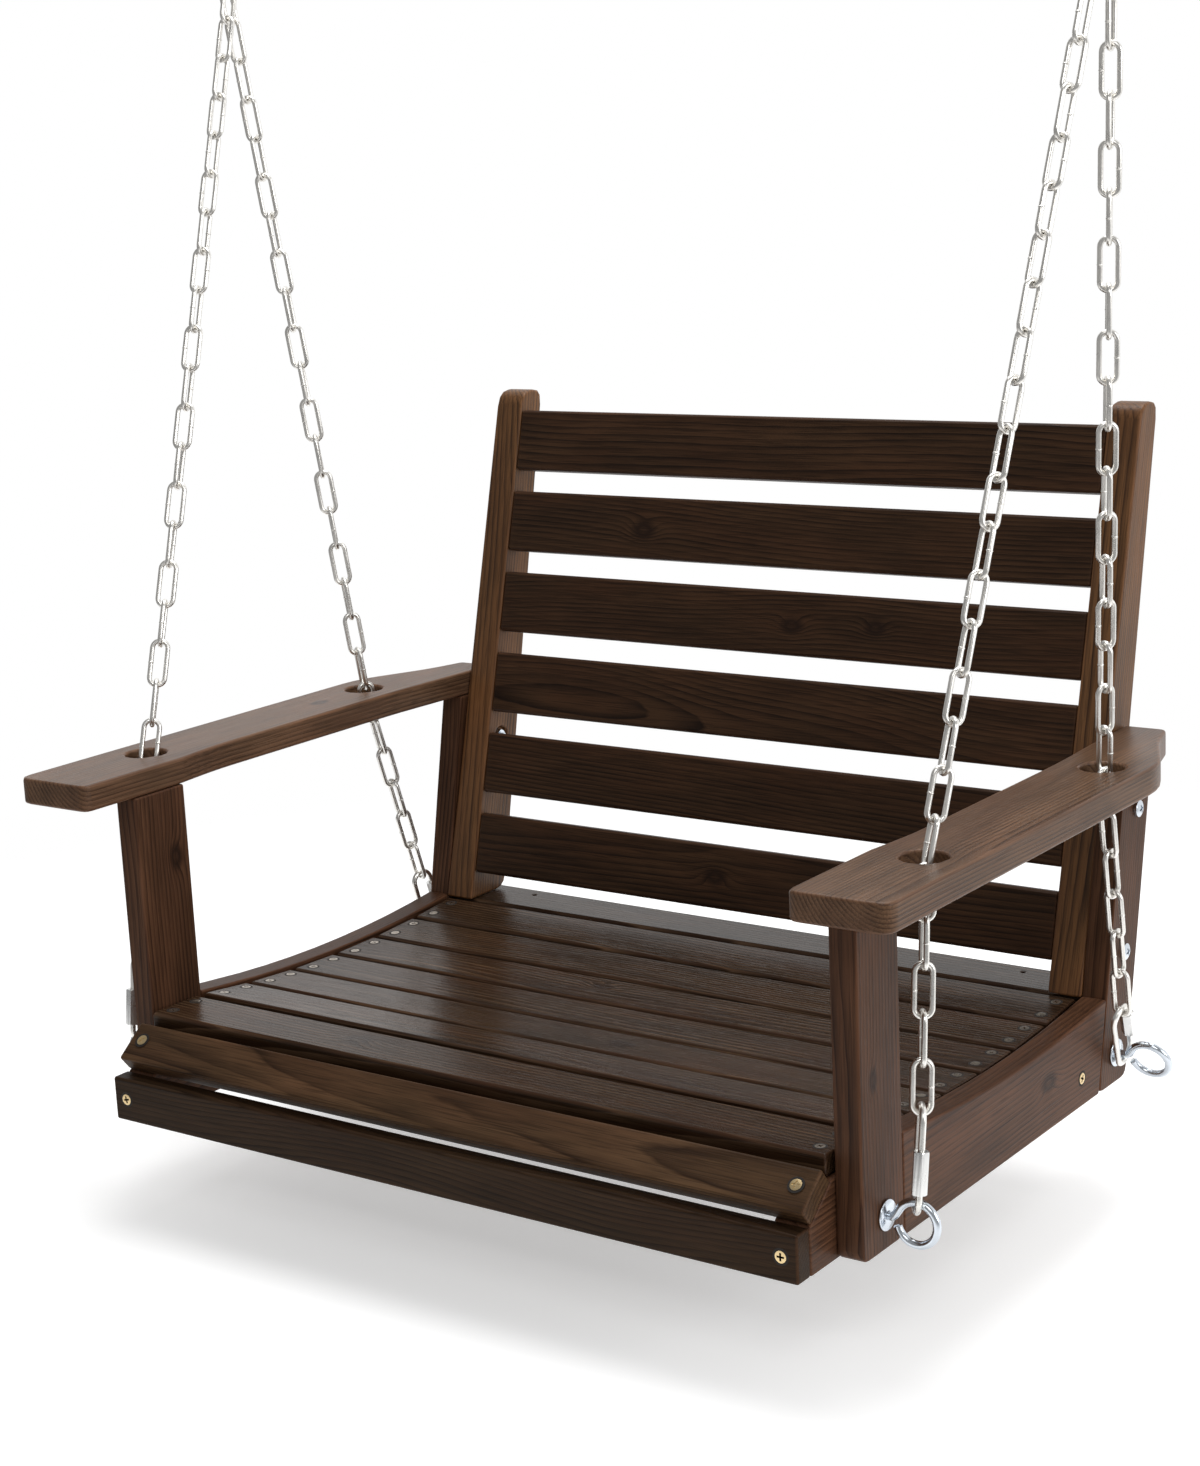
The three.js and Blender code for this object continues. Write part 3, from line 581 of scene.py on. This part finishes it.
def link_places(low, kink, high, first_wide, last_wide):
    """The middle and turn of each link, a quarter turned from the last, with an even twist."""
    lower = (kink - low).length
    total = lower + (high - kink).length
    count = round(total / (CHAIN["pitch"] * MM))
    spacing = total / count

    def point_at(s):
        return low.lerp(kink, s / lower) if s < lower else kink.lerp(high, (s - lower) / (total - lower))

    ends = [(point_at(i * spacing), point_at((i + 1) * spacing)) for i in range(count)]
    runs = [((a + b) / 2, (b - a).normalized()) for a, b in ends]
    carried, wide = [], first_wide
    for _, along in runs:
        wide = squared(wide, along)
        carried.append(wide)
    last = count - 1

    def turned_by(i, angle):
        return Matrix.Rotation(angle, 3, runs[i][1]) @ carried[i]

    along = runs[last][1]
    goal, reached = squared(last_wide, along), turned_by(last, last * math.pi / 2)
    twist = math.atan2(reached.cross(goal).dot(along), reached.dot(goal))
    if abs(twist) > math.pi / 2:
        twist -= math.copysign(math.pi, twist)
    places = []
    for i, (centre, along) in enumerate(runs):
        wide = turned_by(i, i * math.pi / 2 + twist * i / last)
        turn = Matrix((wide, along.cross(wide), along)).transposed()
        places.append((centre, turn.to_euler()))
    return places, spacing


def scatter_tree(name, build):
    """A Geometry Nodes tree that puts what `build` makes on each point, turned by its `turn`."""
    tree = bpy.data.node_groups.new(name, "GeometryNodeTree")
    face = tree.interface
    face.new_socket("Geometry", in_out="INPUT", socket_type="NodeSocketGeometry")
    face.new_socket("Geometry", in_out="OUTPUT", socket_type="NodeSocketGeometry")
    source = tree.nodes.new("NodeGroupInput")
    result = tree.nodes.new("NodeGroupOutput")
    shape = build(tree, face, source)
    points = tree.nodes.new("GeometryNodeMeshToPoints")
    turn = tree.nodes.new("GeometryNodeInputNamedAttribute")
    turn.data_type = "FLOAT_VECTOR"
    turn.inputs["Name"].default_value = "turn"
    put = tree.nodes.new("GeometryNodeInstanceOnPoints")
    real = tree.nodes.new("GeometryNodeRealizeInstances")
    coat = tree.nodes.new("GeometryNodeSetMaterial")
    finish = face.new_socket("Finish", in_out="INPUT", socket_type="NodeSocketMaterial")
    join = tree.links.new
    join(source.outputs["Geometry"], points.inputs[0])
    join(points.outputs[0], put.inputs["Points"])
    join(shape, put.inputs["Instance"])
    join(turn.outputs[0], put.inputs["Rotation"])
    join(put.outputs[0], real.inputs[0])
    join(real.outputs[0], coat.inputs["Geometry"])
    join(source.outputs[finish.name], coat.inputs["Material"])
    join(coat.outputs[0], result.inputs[0])
    return tree


def scattered(name, places, tree, **inputs):
    """A piece with one realised copy on each place, as a plain mesh."""
    mesh = bpy.data.meshes.new(name)
    mesh.from_pydata([tuple(point) for point, _ in places], [], [])
    layer = mesh.attributes.new("turn", "FLOAT_VECTOR", "POINT")
    for slot, (_, turn) in zip(layer.data, places):
        slot.vector = tuple(turn)
    piece = placed(name, mesh)
    modifier = piece.modifiers.new("scatter", "NODES")
    modifier.node_group = tree
    for item in tree.interface.items_tree:
        if item.in_out == "INPUT" and item.name in inputs:
            modifier[item.identifier] = inputs[item.name]
    finished(piece)
    for polygon in piece.data.polygons:
        polygon.use_smooth = True
    return piece


def welded_link(tree, face, source):
    """A rounded wire ring with a small weld on one long side; its length runs along Z."""
    for name, value in (("Wire", 2.0), ("Width", 12.5), ("Length", 36.0)):
        face.new_socket(name, in_out="INPUT", socket_type="NodeSocketFloat").default_value = value * MM
    new, join = tree.nodes.new, tree.links.new
    outline = new("GeometryNodeCurvePrimitiveQuadrilateral")
    outline.mode = "RECTANGLE"
    join(source.outputs["Width"], outline.inputs["Width"])
    join(source.outputs["Length"], outline.inputs["Height"])
    half = new("ShaderNodeMath")
    half.operation = "MULTIPLY"
    half.inputs[1].default_value = 0.499
    join(source.outputs["Width"], half.inputs[0])
    fillet = new("GeometryNodeFilletCurve")
    fillet.mode = "POLY"
    fillet.inputs["Count"].default_value = 6
    join(outline.outputs[0], fillet.inputs["Curve"])
    join(half.outputs[0], fillet.inputs["Radius"])
    section = new("GeometryNodeCurvePrimitiveCircle")
    section.inputs["Resolution"].default_value = 10
    join(source.outputs["Wire"], section.inputs["Radius"])
    skin = new("GeometryNodeCurveToMesh")
    join(fillet.outputs[0], skin.inputs["Curve"])
    join(section.outputs[0], skin.inputs["Profile Curve"])
    weld = new("GeometryNodeMeshUVSphere")
    weld.inputs["Segments"].default_value = 10
    weld.inputs["Rings"].default_value = 6
    grown = new("ShaderNodeMath")
    grown.operation = "MULTIPLY"
    grown.inputs[1].default_value = 1.17
    join(source.outputs["Wire"], grown.inputs[0])
    join(grown.outputs[0], weld.inputs["Radius"])
    seat = new("ShaderNodeCombineXYZ")
    halved = new("ShaderNodeMath")
    halved.operation = "MULTIPLY"
    halved.inputs[1].default_value = 0.5
    join(source.outputs["Width"], halved.inputs[0])
    join(halved.outputs[0], seat.inputs[0])
    moved = new("GeometryNodeTransform")
    moved.inputs["Scale"].default_value = (1.0, 0.6, 1.0)
    join(weld.outputs["Mesh"], moved.inputs["Geometry"])
    join(seat.outputs[0], moved.inputs["Translation"])
    both = new("GeometryNodeJoinGeometry")
    join(skin.outputs[0], both.inputs[0])
    join(moved.outputs[0], both.inputs[0])
    upright = new("GeometryNodeTransform")
    upright.inputs["Rotation"].default_value = (math.pi / 2, 0, 0)
    join(both.outputs[0], upright.inputs["Geometry"])
    return upright.outputs[0]


LINK_TREE = scatter_tree("welded_links", welded_link)


def chain(label, places, spacing):
    piece = scattered(
        f"links_{label}", places, LINK_TREE, Finish=CHAIN_STEEL, Wire=CHAIN["wire"] / 2 * MM,
        Width=(CHAIN["width"] - CHAIN["wire"]) * MM, Length=spacing + CHAIN["wire"] * MM)
    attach(piece, "swing")
    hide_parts(f"chain_{label}")


# ------------------------------------------------------------------ eye bolts

def eye_points(side, shank, stand_off, up):
    """The bolt's wire: the shank along X, then the open ring in the plane of X and `up`."""
    radius = (EYE["ring"] - EYE["wire"]) / 2
    post_face = shank.x / MM * side - GAP
    centre = post_face + stand_off

    def at(x, rise):
        return Vector((side * x * MM, shank.y + rise * up.y * MM, shank.z + rise * up.z * MM))

    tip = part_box(f"eye_bolt_front_{'right' if side > 0 else 'left'}")
    inner = min(abs(tip[0].x), abs(tip[1].x)) / MM
    leave = centre - radius - 3
    knots = [at(inner, 0), at(inner + 8, 0), at(post_face - 21, 0), at(leave - 6, 0), at(leave, 0)]
    end, turn = -180 + EYE["opening"], 150.0
    while turn >= end:
        angle = math.radians(turn)
        knots.append(at(centre + radius * math.cos(angle), radius * math.sin(angle) - EYE["drop"]))
        turn -= 7.5
    return smooth_through(knots)


def smooth_through(knots, steps=4):
    """A centripetal curve through the knots, as the frame's wires follow."""
    ghosted = [knots[0] * 2 - knots[1]] + knots + [knots[-1] * 2 - knots[-2]]
    points = []
    for a, b, c, d in zip(ghosted, ghosted[1:], ghosted[2:], ghosted[3:]):
        ta, tb = 0.0, (b - a).length ** 0.5
        tc = tb + (c - b).length ** 0.5
        td = tc + (d - c).length ** 0.5
        for i in range(steps):
            t = tb + (tc - tb) * i / steps
            ab = a.lerp(b, (t - ta) / (tb - ta))
            bc = b.lerp(c, (t - tb) / (tc - tb))
            cd = c.lerp(d, (t - tc) / (td - tc))
            before = ab.lerp(bc, (t - ta) / (tc - ta))
            after = bc.lerp(cd, (t - tb) / (td - tb))
            points.append(before.lerp(after, (t - tb) / (tc - tb)))
    return points + [knots[-1]]


def eye_bolt(end, label, side):
    corner = f"{end}_{label}"
    washer_low, washer_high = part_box(f"washer_{corner}")
    shank = (washer_low + washer_high) / 2
    shank.x = washer_low.x if side > 0 else washer_high.x
    tilt = math.radians(EYE["rear_tilt"]) if end == "rear" else 0.0
    up = Vector((0, math.sin(tilt), math.cos(tilt)))
    shape = bmesh.new()
    points = eye_points(side, shank, EYE[f"{end}_stand_off"], up)

    def wire(share):
        close = min(share, 1 - share) * len(points)
        return EYE["wire"] / 2 * MM * (0.8 if close < 0.5 else 1.0)

    rings_to_shape(shape, wire_rings(points, wire, 16, Vector((0, 1, 0))))
    metal_piece(f"eye_bolt_{corner}_wire", shape, ZINC_STEEL, "swing", f"eye_bolt_{corner}")
    bore = EYE["wire"] / 2 + THREAD_GAP
    outer = (washer_high.z - washer_low.z) / 2 / MM
    thick = (washer_high.x - washer_low.x) / MM
    shape = bmesh.new()
    edge, rim = WASHER_EDGE, outer - WASHER_EDGE
    profile = [(0, bore), (0, rim), (edge, outer), (thick - edge, outer), (thick, rim), (thick, bore)]
    rings = [[shank + Vector((side * along, radius * c, radius * s)) * MM for c, s in circle(40)]
             for along, radius in profile]
    rings_to_shape(shape, rings, closed=True)
    metal_piece(f"washer_{corner}_disc", shape, ZINC_STEEL, "swing",
                f"washer_{corner}", sharp=60.0)
    nut_low, nut_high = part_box(f"eye_nut_{corner}")
    shape = bmesh.new()
    place = Matrix.Translation(Vector((nut_low.x, shank.y, shank.z))) @ Z_TO_X
    hexagon_tube(shape, NUT["across_flats"], bore, (nut_high.x - nut_low.x) / MM, place)
    metal_piece(f"eye_nut_{corner}_hexagon", shape, ZINC_STEEL, "swing",
                f"eye_nut_{corner}", sharp=25.0)
    return shank, up


# ------------------------------------------------------------------ the four corners and hangers

def arm_hole(end, label, side):
    """The place where the chain lies in its hole through the armrest."""
    arm_low, arm_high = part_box(f"armrest_{label}")
    inner_edge = min(abs(arm_low.x), abs(arm_high.x)) / MM
    if end == "front":
        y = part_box(f"front_post_{label}")[1].y / MM + ARM_HOLE["front_behind_post"]
    else:
        post_front = arm_high.y / MM + ARM_END_SHORT - BACK_POST_WIDTH + GAP * POST_LEAN[1]
        y = post_front - ARM_HOLE["rear_before_post"]
    x = side * (inner_edge + ARM_HOLE["in"])
    return Vector((x, y + CHAIN_TOUCH[end], (arm_low.z + arm_high.z) / 2 / MM)) * MM


def held_link(end, label, side):
    """Adds a quick link on its eye bolt, on the ring's top in front and on the shank behind. Gives
    the middle of its upper bend and the direction across its flat."""
    shank, up = eye_bolt(end, label, side)
    axis, face = HANGS[(end, side)]
    along, towards = Vector(axis).normalized(), Vector(face)
    post_face = abs(shank.x) / MM - GAP
    ring_top = (EYE["ring"] - EYE["wire"]) / 2 - EYE["drop"]
    rise = ring_top if end == "front" else 0.0
    hold = post_face + (EYE["front_stand_off"] if end == "front" else EYE["shank_hold"])
    held = Vector((side * hold * MM, shank.y + rise * up.y * MM, shank.z + rise * up.z * MM))
    pull = Vector((0, along.y, along.z)).normalized()
    drop = (LINK["wire"] + EYE["wire"]) / 2 + end_rise(EYE["wire"] / 2) + EYE["clearance"]
    low = held - pull * drop * MM
    quick_link(f"quick_link_{end}_{label}_wire", f"quick_link_{end}_{label}", f"sleeve_{end}_{label}",
               standing(low, along, towards), end == "rear", "swing")
    bend = low + along * (LINK_SPAN - LINK_RADIUS) * MM
    return bend, along.cross(squared(towards, along))


def hung_chain(end, label, side, hanger_x):
    """Adds a chain from its quick link, through the arm's hole, up to the hanger."""
    bend, normal = held_link(end, label, side)
    kink = arm_hole(end, label, side)
    pull = kink - bend
    pull = (pull - normal * pull.dot(normal)).normalized()
    seat = bend + pull * LINK_RADIUS * MM
    half_wires = (LINK["wire"] + CHAIN["bite"]) / 2
    reach = half_wires + CHAIN["hook_gap"] + end_rise(CHAIN["wire"] / 2)
    low_end = seat - (kink - seat).normalized() * reach * MM
    spread = CHAIN["spread"] * (-1 if end == "front" else 1)
    hang_point = Vector((side * (hanger_x + spread * MM), 0.0, 0.0))
    reach = half_wires + CHAIN["hang_gap"] + end_rise(CHAIN["spread"] + CHAIN["wire"] / 2)
    high_end = hang_point + (hang_point - kink).normalized() * reach * MM
    places, spacing = link_places(low_end, kink, high_end, normal, Vector((0, 1, 0)))
    chain(f"{end}_{label}", places, spacing)


for label, side in SIDES:
    hanger_x = abs(middle(f"hanger_{label}").x)
    for end in ENDS:
        hung_chain(end, label, side, hanger_x)
    place = standing(Vector((side * hanger_x, 0.0, 0.0)), (0, 0, 1), (side, 0, 0))
    quick_link(f"hanger_{label}_wire", f"hanger_{label}", f"hanger_sleeve_{label}", place, False, "hangers")


# ------------------------------------------------------------------ bolts and screws

def cross_head(shape, radius, height, arm, width, depth, place, rows=4):
    """A domed head with a cross recess, its face towards +Z of `place`."""
    quarter = [(arm, -width), (arm, width), (width, width)]
    cross = []
    for k in range(4):
        turn = Matrix.Rotation(k * math.pi / 2, 2)
        cross += [turn @ Vector(p) for p in quarter]
    dense = []
    for a, b in zip(cross, cross[1:] + cross[:1]):
        dense += [a, a.lerp(b, 0.5)]
    bearing = [math.atan2(p.y, p.x) for p in dense]

    def dome(r):
        return height * (1 - 0.42 * (r / radius) ** 2.6)

    rings = []
    for i in range(rows + 1):
        share = i / rows
        ring = [Vector((math.cos(a), math.sin(a))) * radius for a in bearing]
        ring = [p.lerp(r, 1 - share) for p, r in zip(dense, ring)]
        rings.append([Vector((p.x, p.y, dome(p.length))) for p in ring])
    side_ring = [Vector((math.cos(a) * radius, math.sin(a) * radius, 0.0)) for a in bearing]
    floor_ring = [Vector((p.x * 0.8, p.y * 0.8, dome(p.length) - depth)) for p in dense]
    rings = [side_ring] + rings + [floor_ring]
    rings_to_shape(shape, [[place @ (p * MM) for p in ring] for ring in rings])


def facing(point, normal, spin=0.0):
    """The matrix of a head at a point, with its +Z along the normal and its cross turned by spin."""
    turn = Vector(normal).to_track_quat("Z", "Y").to_matrix().to_4x4()
    return Matrix.Translation(point) @ turn @ Matrix.Rotation(spin, 4, "Z")


def backrest_bolt(level, label, side):
    """A pan-head bolt through post and upright with its nut inside, as one tightened set."""
    node = f"backrest_bolt_{level}_{label}"
    low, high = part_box(node)
    outer, tip = (high.x, low.x) if side > 0 else (low.x, high.x)
    y, z = (low.y + high.y) / 2, (low.z + high.z) / 2
    head = outer - side * BACK_BOLT["head_height"] * MM
    shape = bmesh.new()
    cross_head(shape, BACK_BOLT["head"], BACK_BOLT["head_height"], 3.2, 0.75, 1.9,
               facing(Vector((head, y, z)), (side, 0, 0), 0.3))
    crest, root = BACK_BOLT["thread"], BACK_BOLT["root"]
    profile = [(0, 1.6), (0, 2.4)]
    for k in range(BACK_BOLT["turns"]):
        profile += [(0.6 + k, crest), (1.1 + k, root)]
    profile += [(BACK_BOLT["turns"] + 1.5, crest), (abs(head - tip) / MM, crest)]
    turned(shape, profile, 16, Vector((tip, y, z)), Vector((side, 0, 0)))
    upright_low, upright_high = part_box(f"upright_{label}")
    inner = min(abs(upright_low.x), abs(upright_high.x))
    start = inner if side > 0 else -inner - NUT["height"] * MM
    hexagon_tube(shape, NUT["across_flats"], NUT["bore"], NUT["height"],
                 Matrix.Translation(Vector((start, y, z))) @ Z_TO_X)
    metal_piece(f"{node}_set", shape, ZINC_STEEL, "swing", node, sharp=30.0)


for level in ("upper", "lower"):
    for label, side in SIDES:
        backrest_bolt(level, label, side)


def screw_instance(tree, face, source):
    """The screw head that the tree is given as an object."""
    face.new_socket("Head", in_out="INPUT", socket_type="NodeSocketObject")
    info = tree.nodes.new("GeometryNodeObjectInfo")
    tree.links.new(source.outputs["Head"], info.inputs["Object"])
    return info.outputs["Geometry"]


SCREW_TREE = scatter_tree("wood_screws", screw_instance)


def screws(name, places, size, material):
    """Countersunk wood screw heads with a cross, and round each a near-black ring of painted shade for its
    pocket.
    """
    chance = random.Random(name)
    heads = []
    for point, normal in places:
        heads.append((point, facing(point, normal, chance.uniform(0, 1.5)).to_euler()))
    radius = size["radius"]
    shape = bmesh.new()
    cross_head(shape, radius, size["proud"], radius * 0.66, radius * 0.17, 1.8, Matrix.Identity(4), rows=3)
    head = placed("screw_head", shaded(shape, "screw_head", 50.0))
    piece = scattered(name, heads, SCREW_TREE, Finish=material, Head=head)
    bpy.data.objects.remove(head)
    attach(piece, "swing")
    # A dark ring round each head: painted shade for the pocket that it sits in.
    shape = bmesh.new()
    inner, outer = radius * 0.9, radius * 1.42
    section = ((inner, -POCKET_DEPTH), (outer, -POCKET_DEPTH), (outer, 0.05), (inner, 0.05))
    rings = [[Vector((r * c, r * s, z)) * MM for c, s in circle(28)] for r, z in section]
    rings_to_shape(shape, rings, closed=True)
    rim = placed("screw_rim", shaded(shape, "screw_rim"))
    pocket_shade = scattered(f"{name}_pockets", heads, SCREW_TREE, Finish=POCKET_SHADE, Head=rim)
    bpy.data.objects.remove(rim)
    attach(pocket_shade, "swing")


def frame_screw_places():
    """In the apron and the nose board near their ends, and in the outer rails' faces."""
    places = []
    sloped = Vector((0, -math.sin(NOSE_SLOPE), math.cos(NOSE_SLOPE)))
    for label, side in SIDES:
        x = side * (apron_high.x - SCREW_IN * MM)
        places.append((Vector((x, apron_low.y, apron_low.z + APRON_SCREW_HEIGHT * MM)), Vector((0, -1, 0))))
        places.append((laid(0, *NOSE_SCREW) + Vector((x, 0, 0)), sloped))
        rail_low, rail_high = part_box(f"outer_rail_{label}")
        face = rail_high.x if side > 0 else rail_low.x
        for y, z in RAIL_SCREWS:
            places.append((laid(0, y, z) + Vector((face, 0, 0)), Vector((side, 0, 0))))
    return places


def slat_screw_places():
    """Two at each end of each seat slat, square to the slat's own slope."""
    places = []
    for number in range(1, 8):
        node = f"seat_slat_{number}"
        points = [vertex.co for vertex in NODES[node].data.vertices]
        low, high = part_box(node)
        centre = (low + high) / 2
        front_z = max(p.z for p in points if p.y < low.y + SLAT["end_band"] * MM)
        back_z = max(p.z for p in points if p.y > high.y - SLAT["end_band"] * MM)
        lean = math.atan2(back_z - front_z, high.y - low.y - 2 * SLAT["edge"] * MM)
        along = Vector((0, math.cos(lean), math.sin(lean)))
        normal = Vector((0, -math.sin(lean), math.cos(lean)))
        top = Vector((0, centre.y, centre.z)) + normal * SLAT["thickness"] / 2 * MM
        for _, side in SIDES:
            for offset in (-SLAT_SCREW_OFF, SLAT_SCREW_OFF):
                end = Vector((side * (high.x - SLAT_SCREW_IN * MM), 0, 0))
                places.append((top + end + along * offset * MM, normal))
    return places


screws("frame_screws", frame_screw_places(), FRAME_SCREW, BRASS_SCREW)
screws("slat_screws", slat_screw_places(), SLAT_SCREW, ZINC_SCREW)


# ------------------------------------------------------------------ camera, floor and light

LENS, SENSOR = 64.48, 36.0
EYE_PLACE = (1164.1, -1355.4, 737.1)
EYE_FORWARD = Vector((-0.57465, 0.78830, -0.21993))
EYE_RIGHT = Vector((0.81337, 0.57986, -0.04686))
FLOOR_DROP = 0.085  # metres below the apron
FLOOR_REACH = 2.4  # metres, half the floor's width
FLOOR_GLOW = 0.38
TOWARDS_WALL = (0.05, 0.98, -0.05)
ROOM_SHADES = ((0.0, 0.30), (0.50, 1.0))
# Each light by its place from the middle of the seat, its size in metres and its power in watts.
LIGHTS = {
    "key": ((1.6, -2.2, 2.2), 1.2, 18),
    "side": ((3.0, 0.1, 0.9), 1.4, 30),
    "top": ((-0.2, 0.6, 2.9), 1.8, 60),
}


def camera():
    data = bpy.data.cameras.new("camera")
    data.lens, data.sensor_width = LENS, SENSOR
    eye = bpy.data.objects.new("camera", data)
    bpy.context.scene.collection.objects.link(eye)
    up = EYE_RIGHT.cross(EYE_FORWARD)
    turn = Matrix((EYE_RIGHT, up, -EYE_FORWARD)).transposed().to_4x4()
    eye.matrix_world = Matrix.Translation(laid(*EYE_PLACE)) @ turn
    bpy.context.scene.camera = eye


def floor():
    """A pale floor that fades out round the swing, so that only its soft shadow shows."""
    mesh = bpy.data.meshes.new("floor")
    z, reach = apron_low.z - FLOOR_DROP, FLOOR_REACH
    corners = [(-reach, -reach, z), (reach, -reach, z), (reach, reach, z), (-reach, reach, z)]
    mesh.from_pydata(corners, [], [(0, 1, 2, 3)])
    piece = placed("floor", mesh)
    g = Graph("pale_floor")
    away = g.node("ShaderNodeVectorMath", {"operation": "LENGTH"}, g.place - Vector((0.0, 0.0, z)))
    distance = Value(g, away.outputs["Value"])
    fade = g.ramp(distance / reach, [(0.0, 1.0), (0.25, 0.9), (0.55, 0.0), (1.0, 0.0)])
    piece.data.materials.append(g.set(
        Base_Color=(0.9, 0.9, 0.9, 1.0), Roughness=0.9, Specular_IOR_Level=0.0, Alpha=fade,
        Emission_Color=(1.0, 1.0, 1.0, 1.0), Emission_Strength=FLOOR_GLOW))


def light(name, place, aim, size, power):
    data = bpy.data.lights.new(name, "AREA")
    data.shape, data.size, data.energy = "SQUARE", size, power
    lamp = bpy.data.objects.new(name, data)
    bpy.context.scene.collection.objects.link(lamp)
    lamp.location = place
    lamp.rotation_euler = (Vector(aim) - Vector(place)).to_track_quat("-Z", "Y").to_euler()


def studio():
    """A white wall behind the seat, a dimmer room in front of it, and three soft lights."""
    world = bpy.data.worlds.new("studio")
    bpy.context.scene.world = world
    world.use_nodes = True
    nodes, join = world.node_tree.nodes, world.node_tree.links.new
    coordinates = nodes.new("ShaderNodeTexCoord")
    facing_wall = nodes.new("ShaderNodeVectorMath")
    facing_wall.operation = "DOT_PRODUCT"
    facing_wall.inputs[1].default_value = TOWARDS_WALL
    ramp = nodes.new("ShaderNodeValToRGB")
    for element, (position, shade) in zip(ramp.color_ramp.elements, ROOM_SHADES):
        element.position, element.color = position, (shade, shade, shade, 1)
    join(coordinates.outputs["Generated"], facing_wall.inputs[0])
    join(facing_wall.outputs["Value"], ramp.inputs[0])
    join(ramp.outputs[0], nodes["Background"].inputs[0])
    nodes["Background"].inputs[1].default_value = 1.0
    target = laid(0, 250, 150)
    for name, (place, size, power) in LIGHTS.items():
        light(name, target + Vector(place), target, size, power)
    bpy.context.scene.view_settings.view_transform = "Standard"


camera()
floor()
studio()
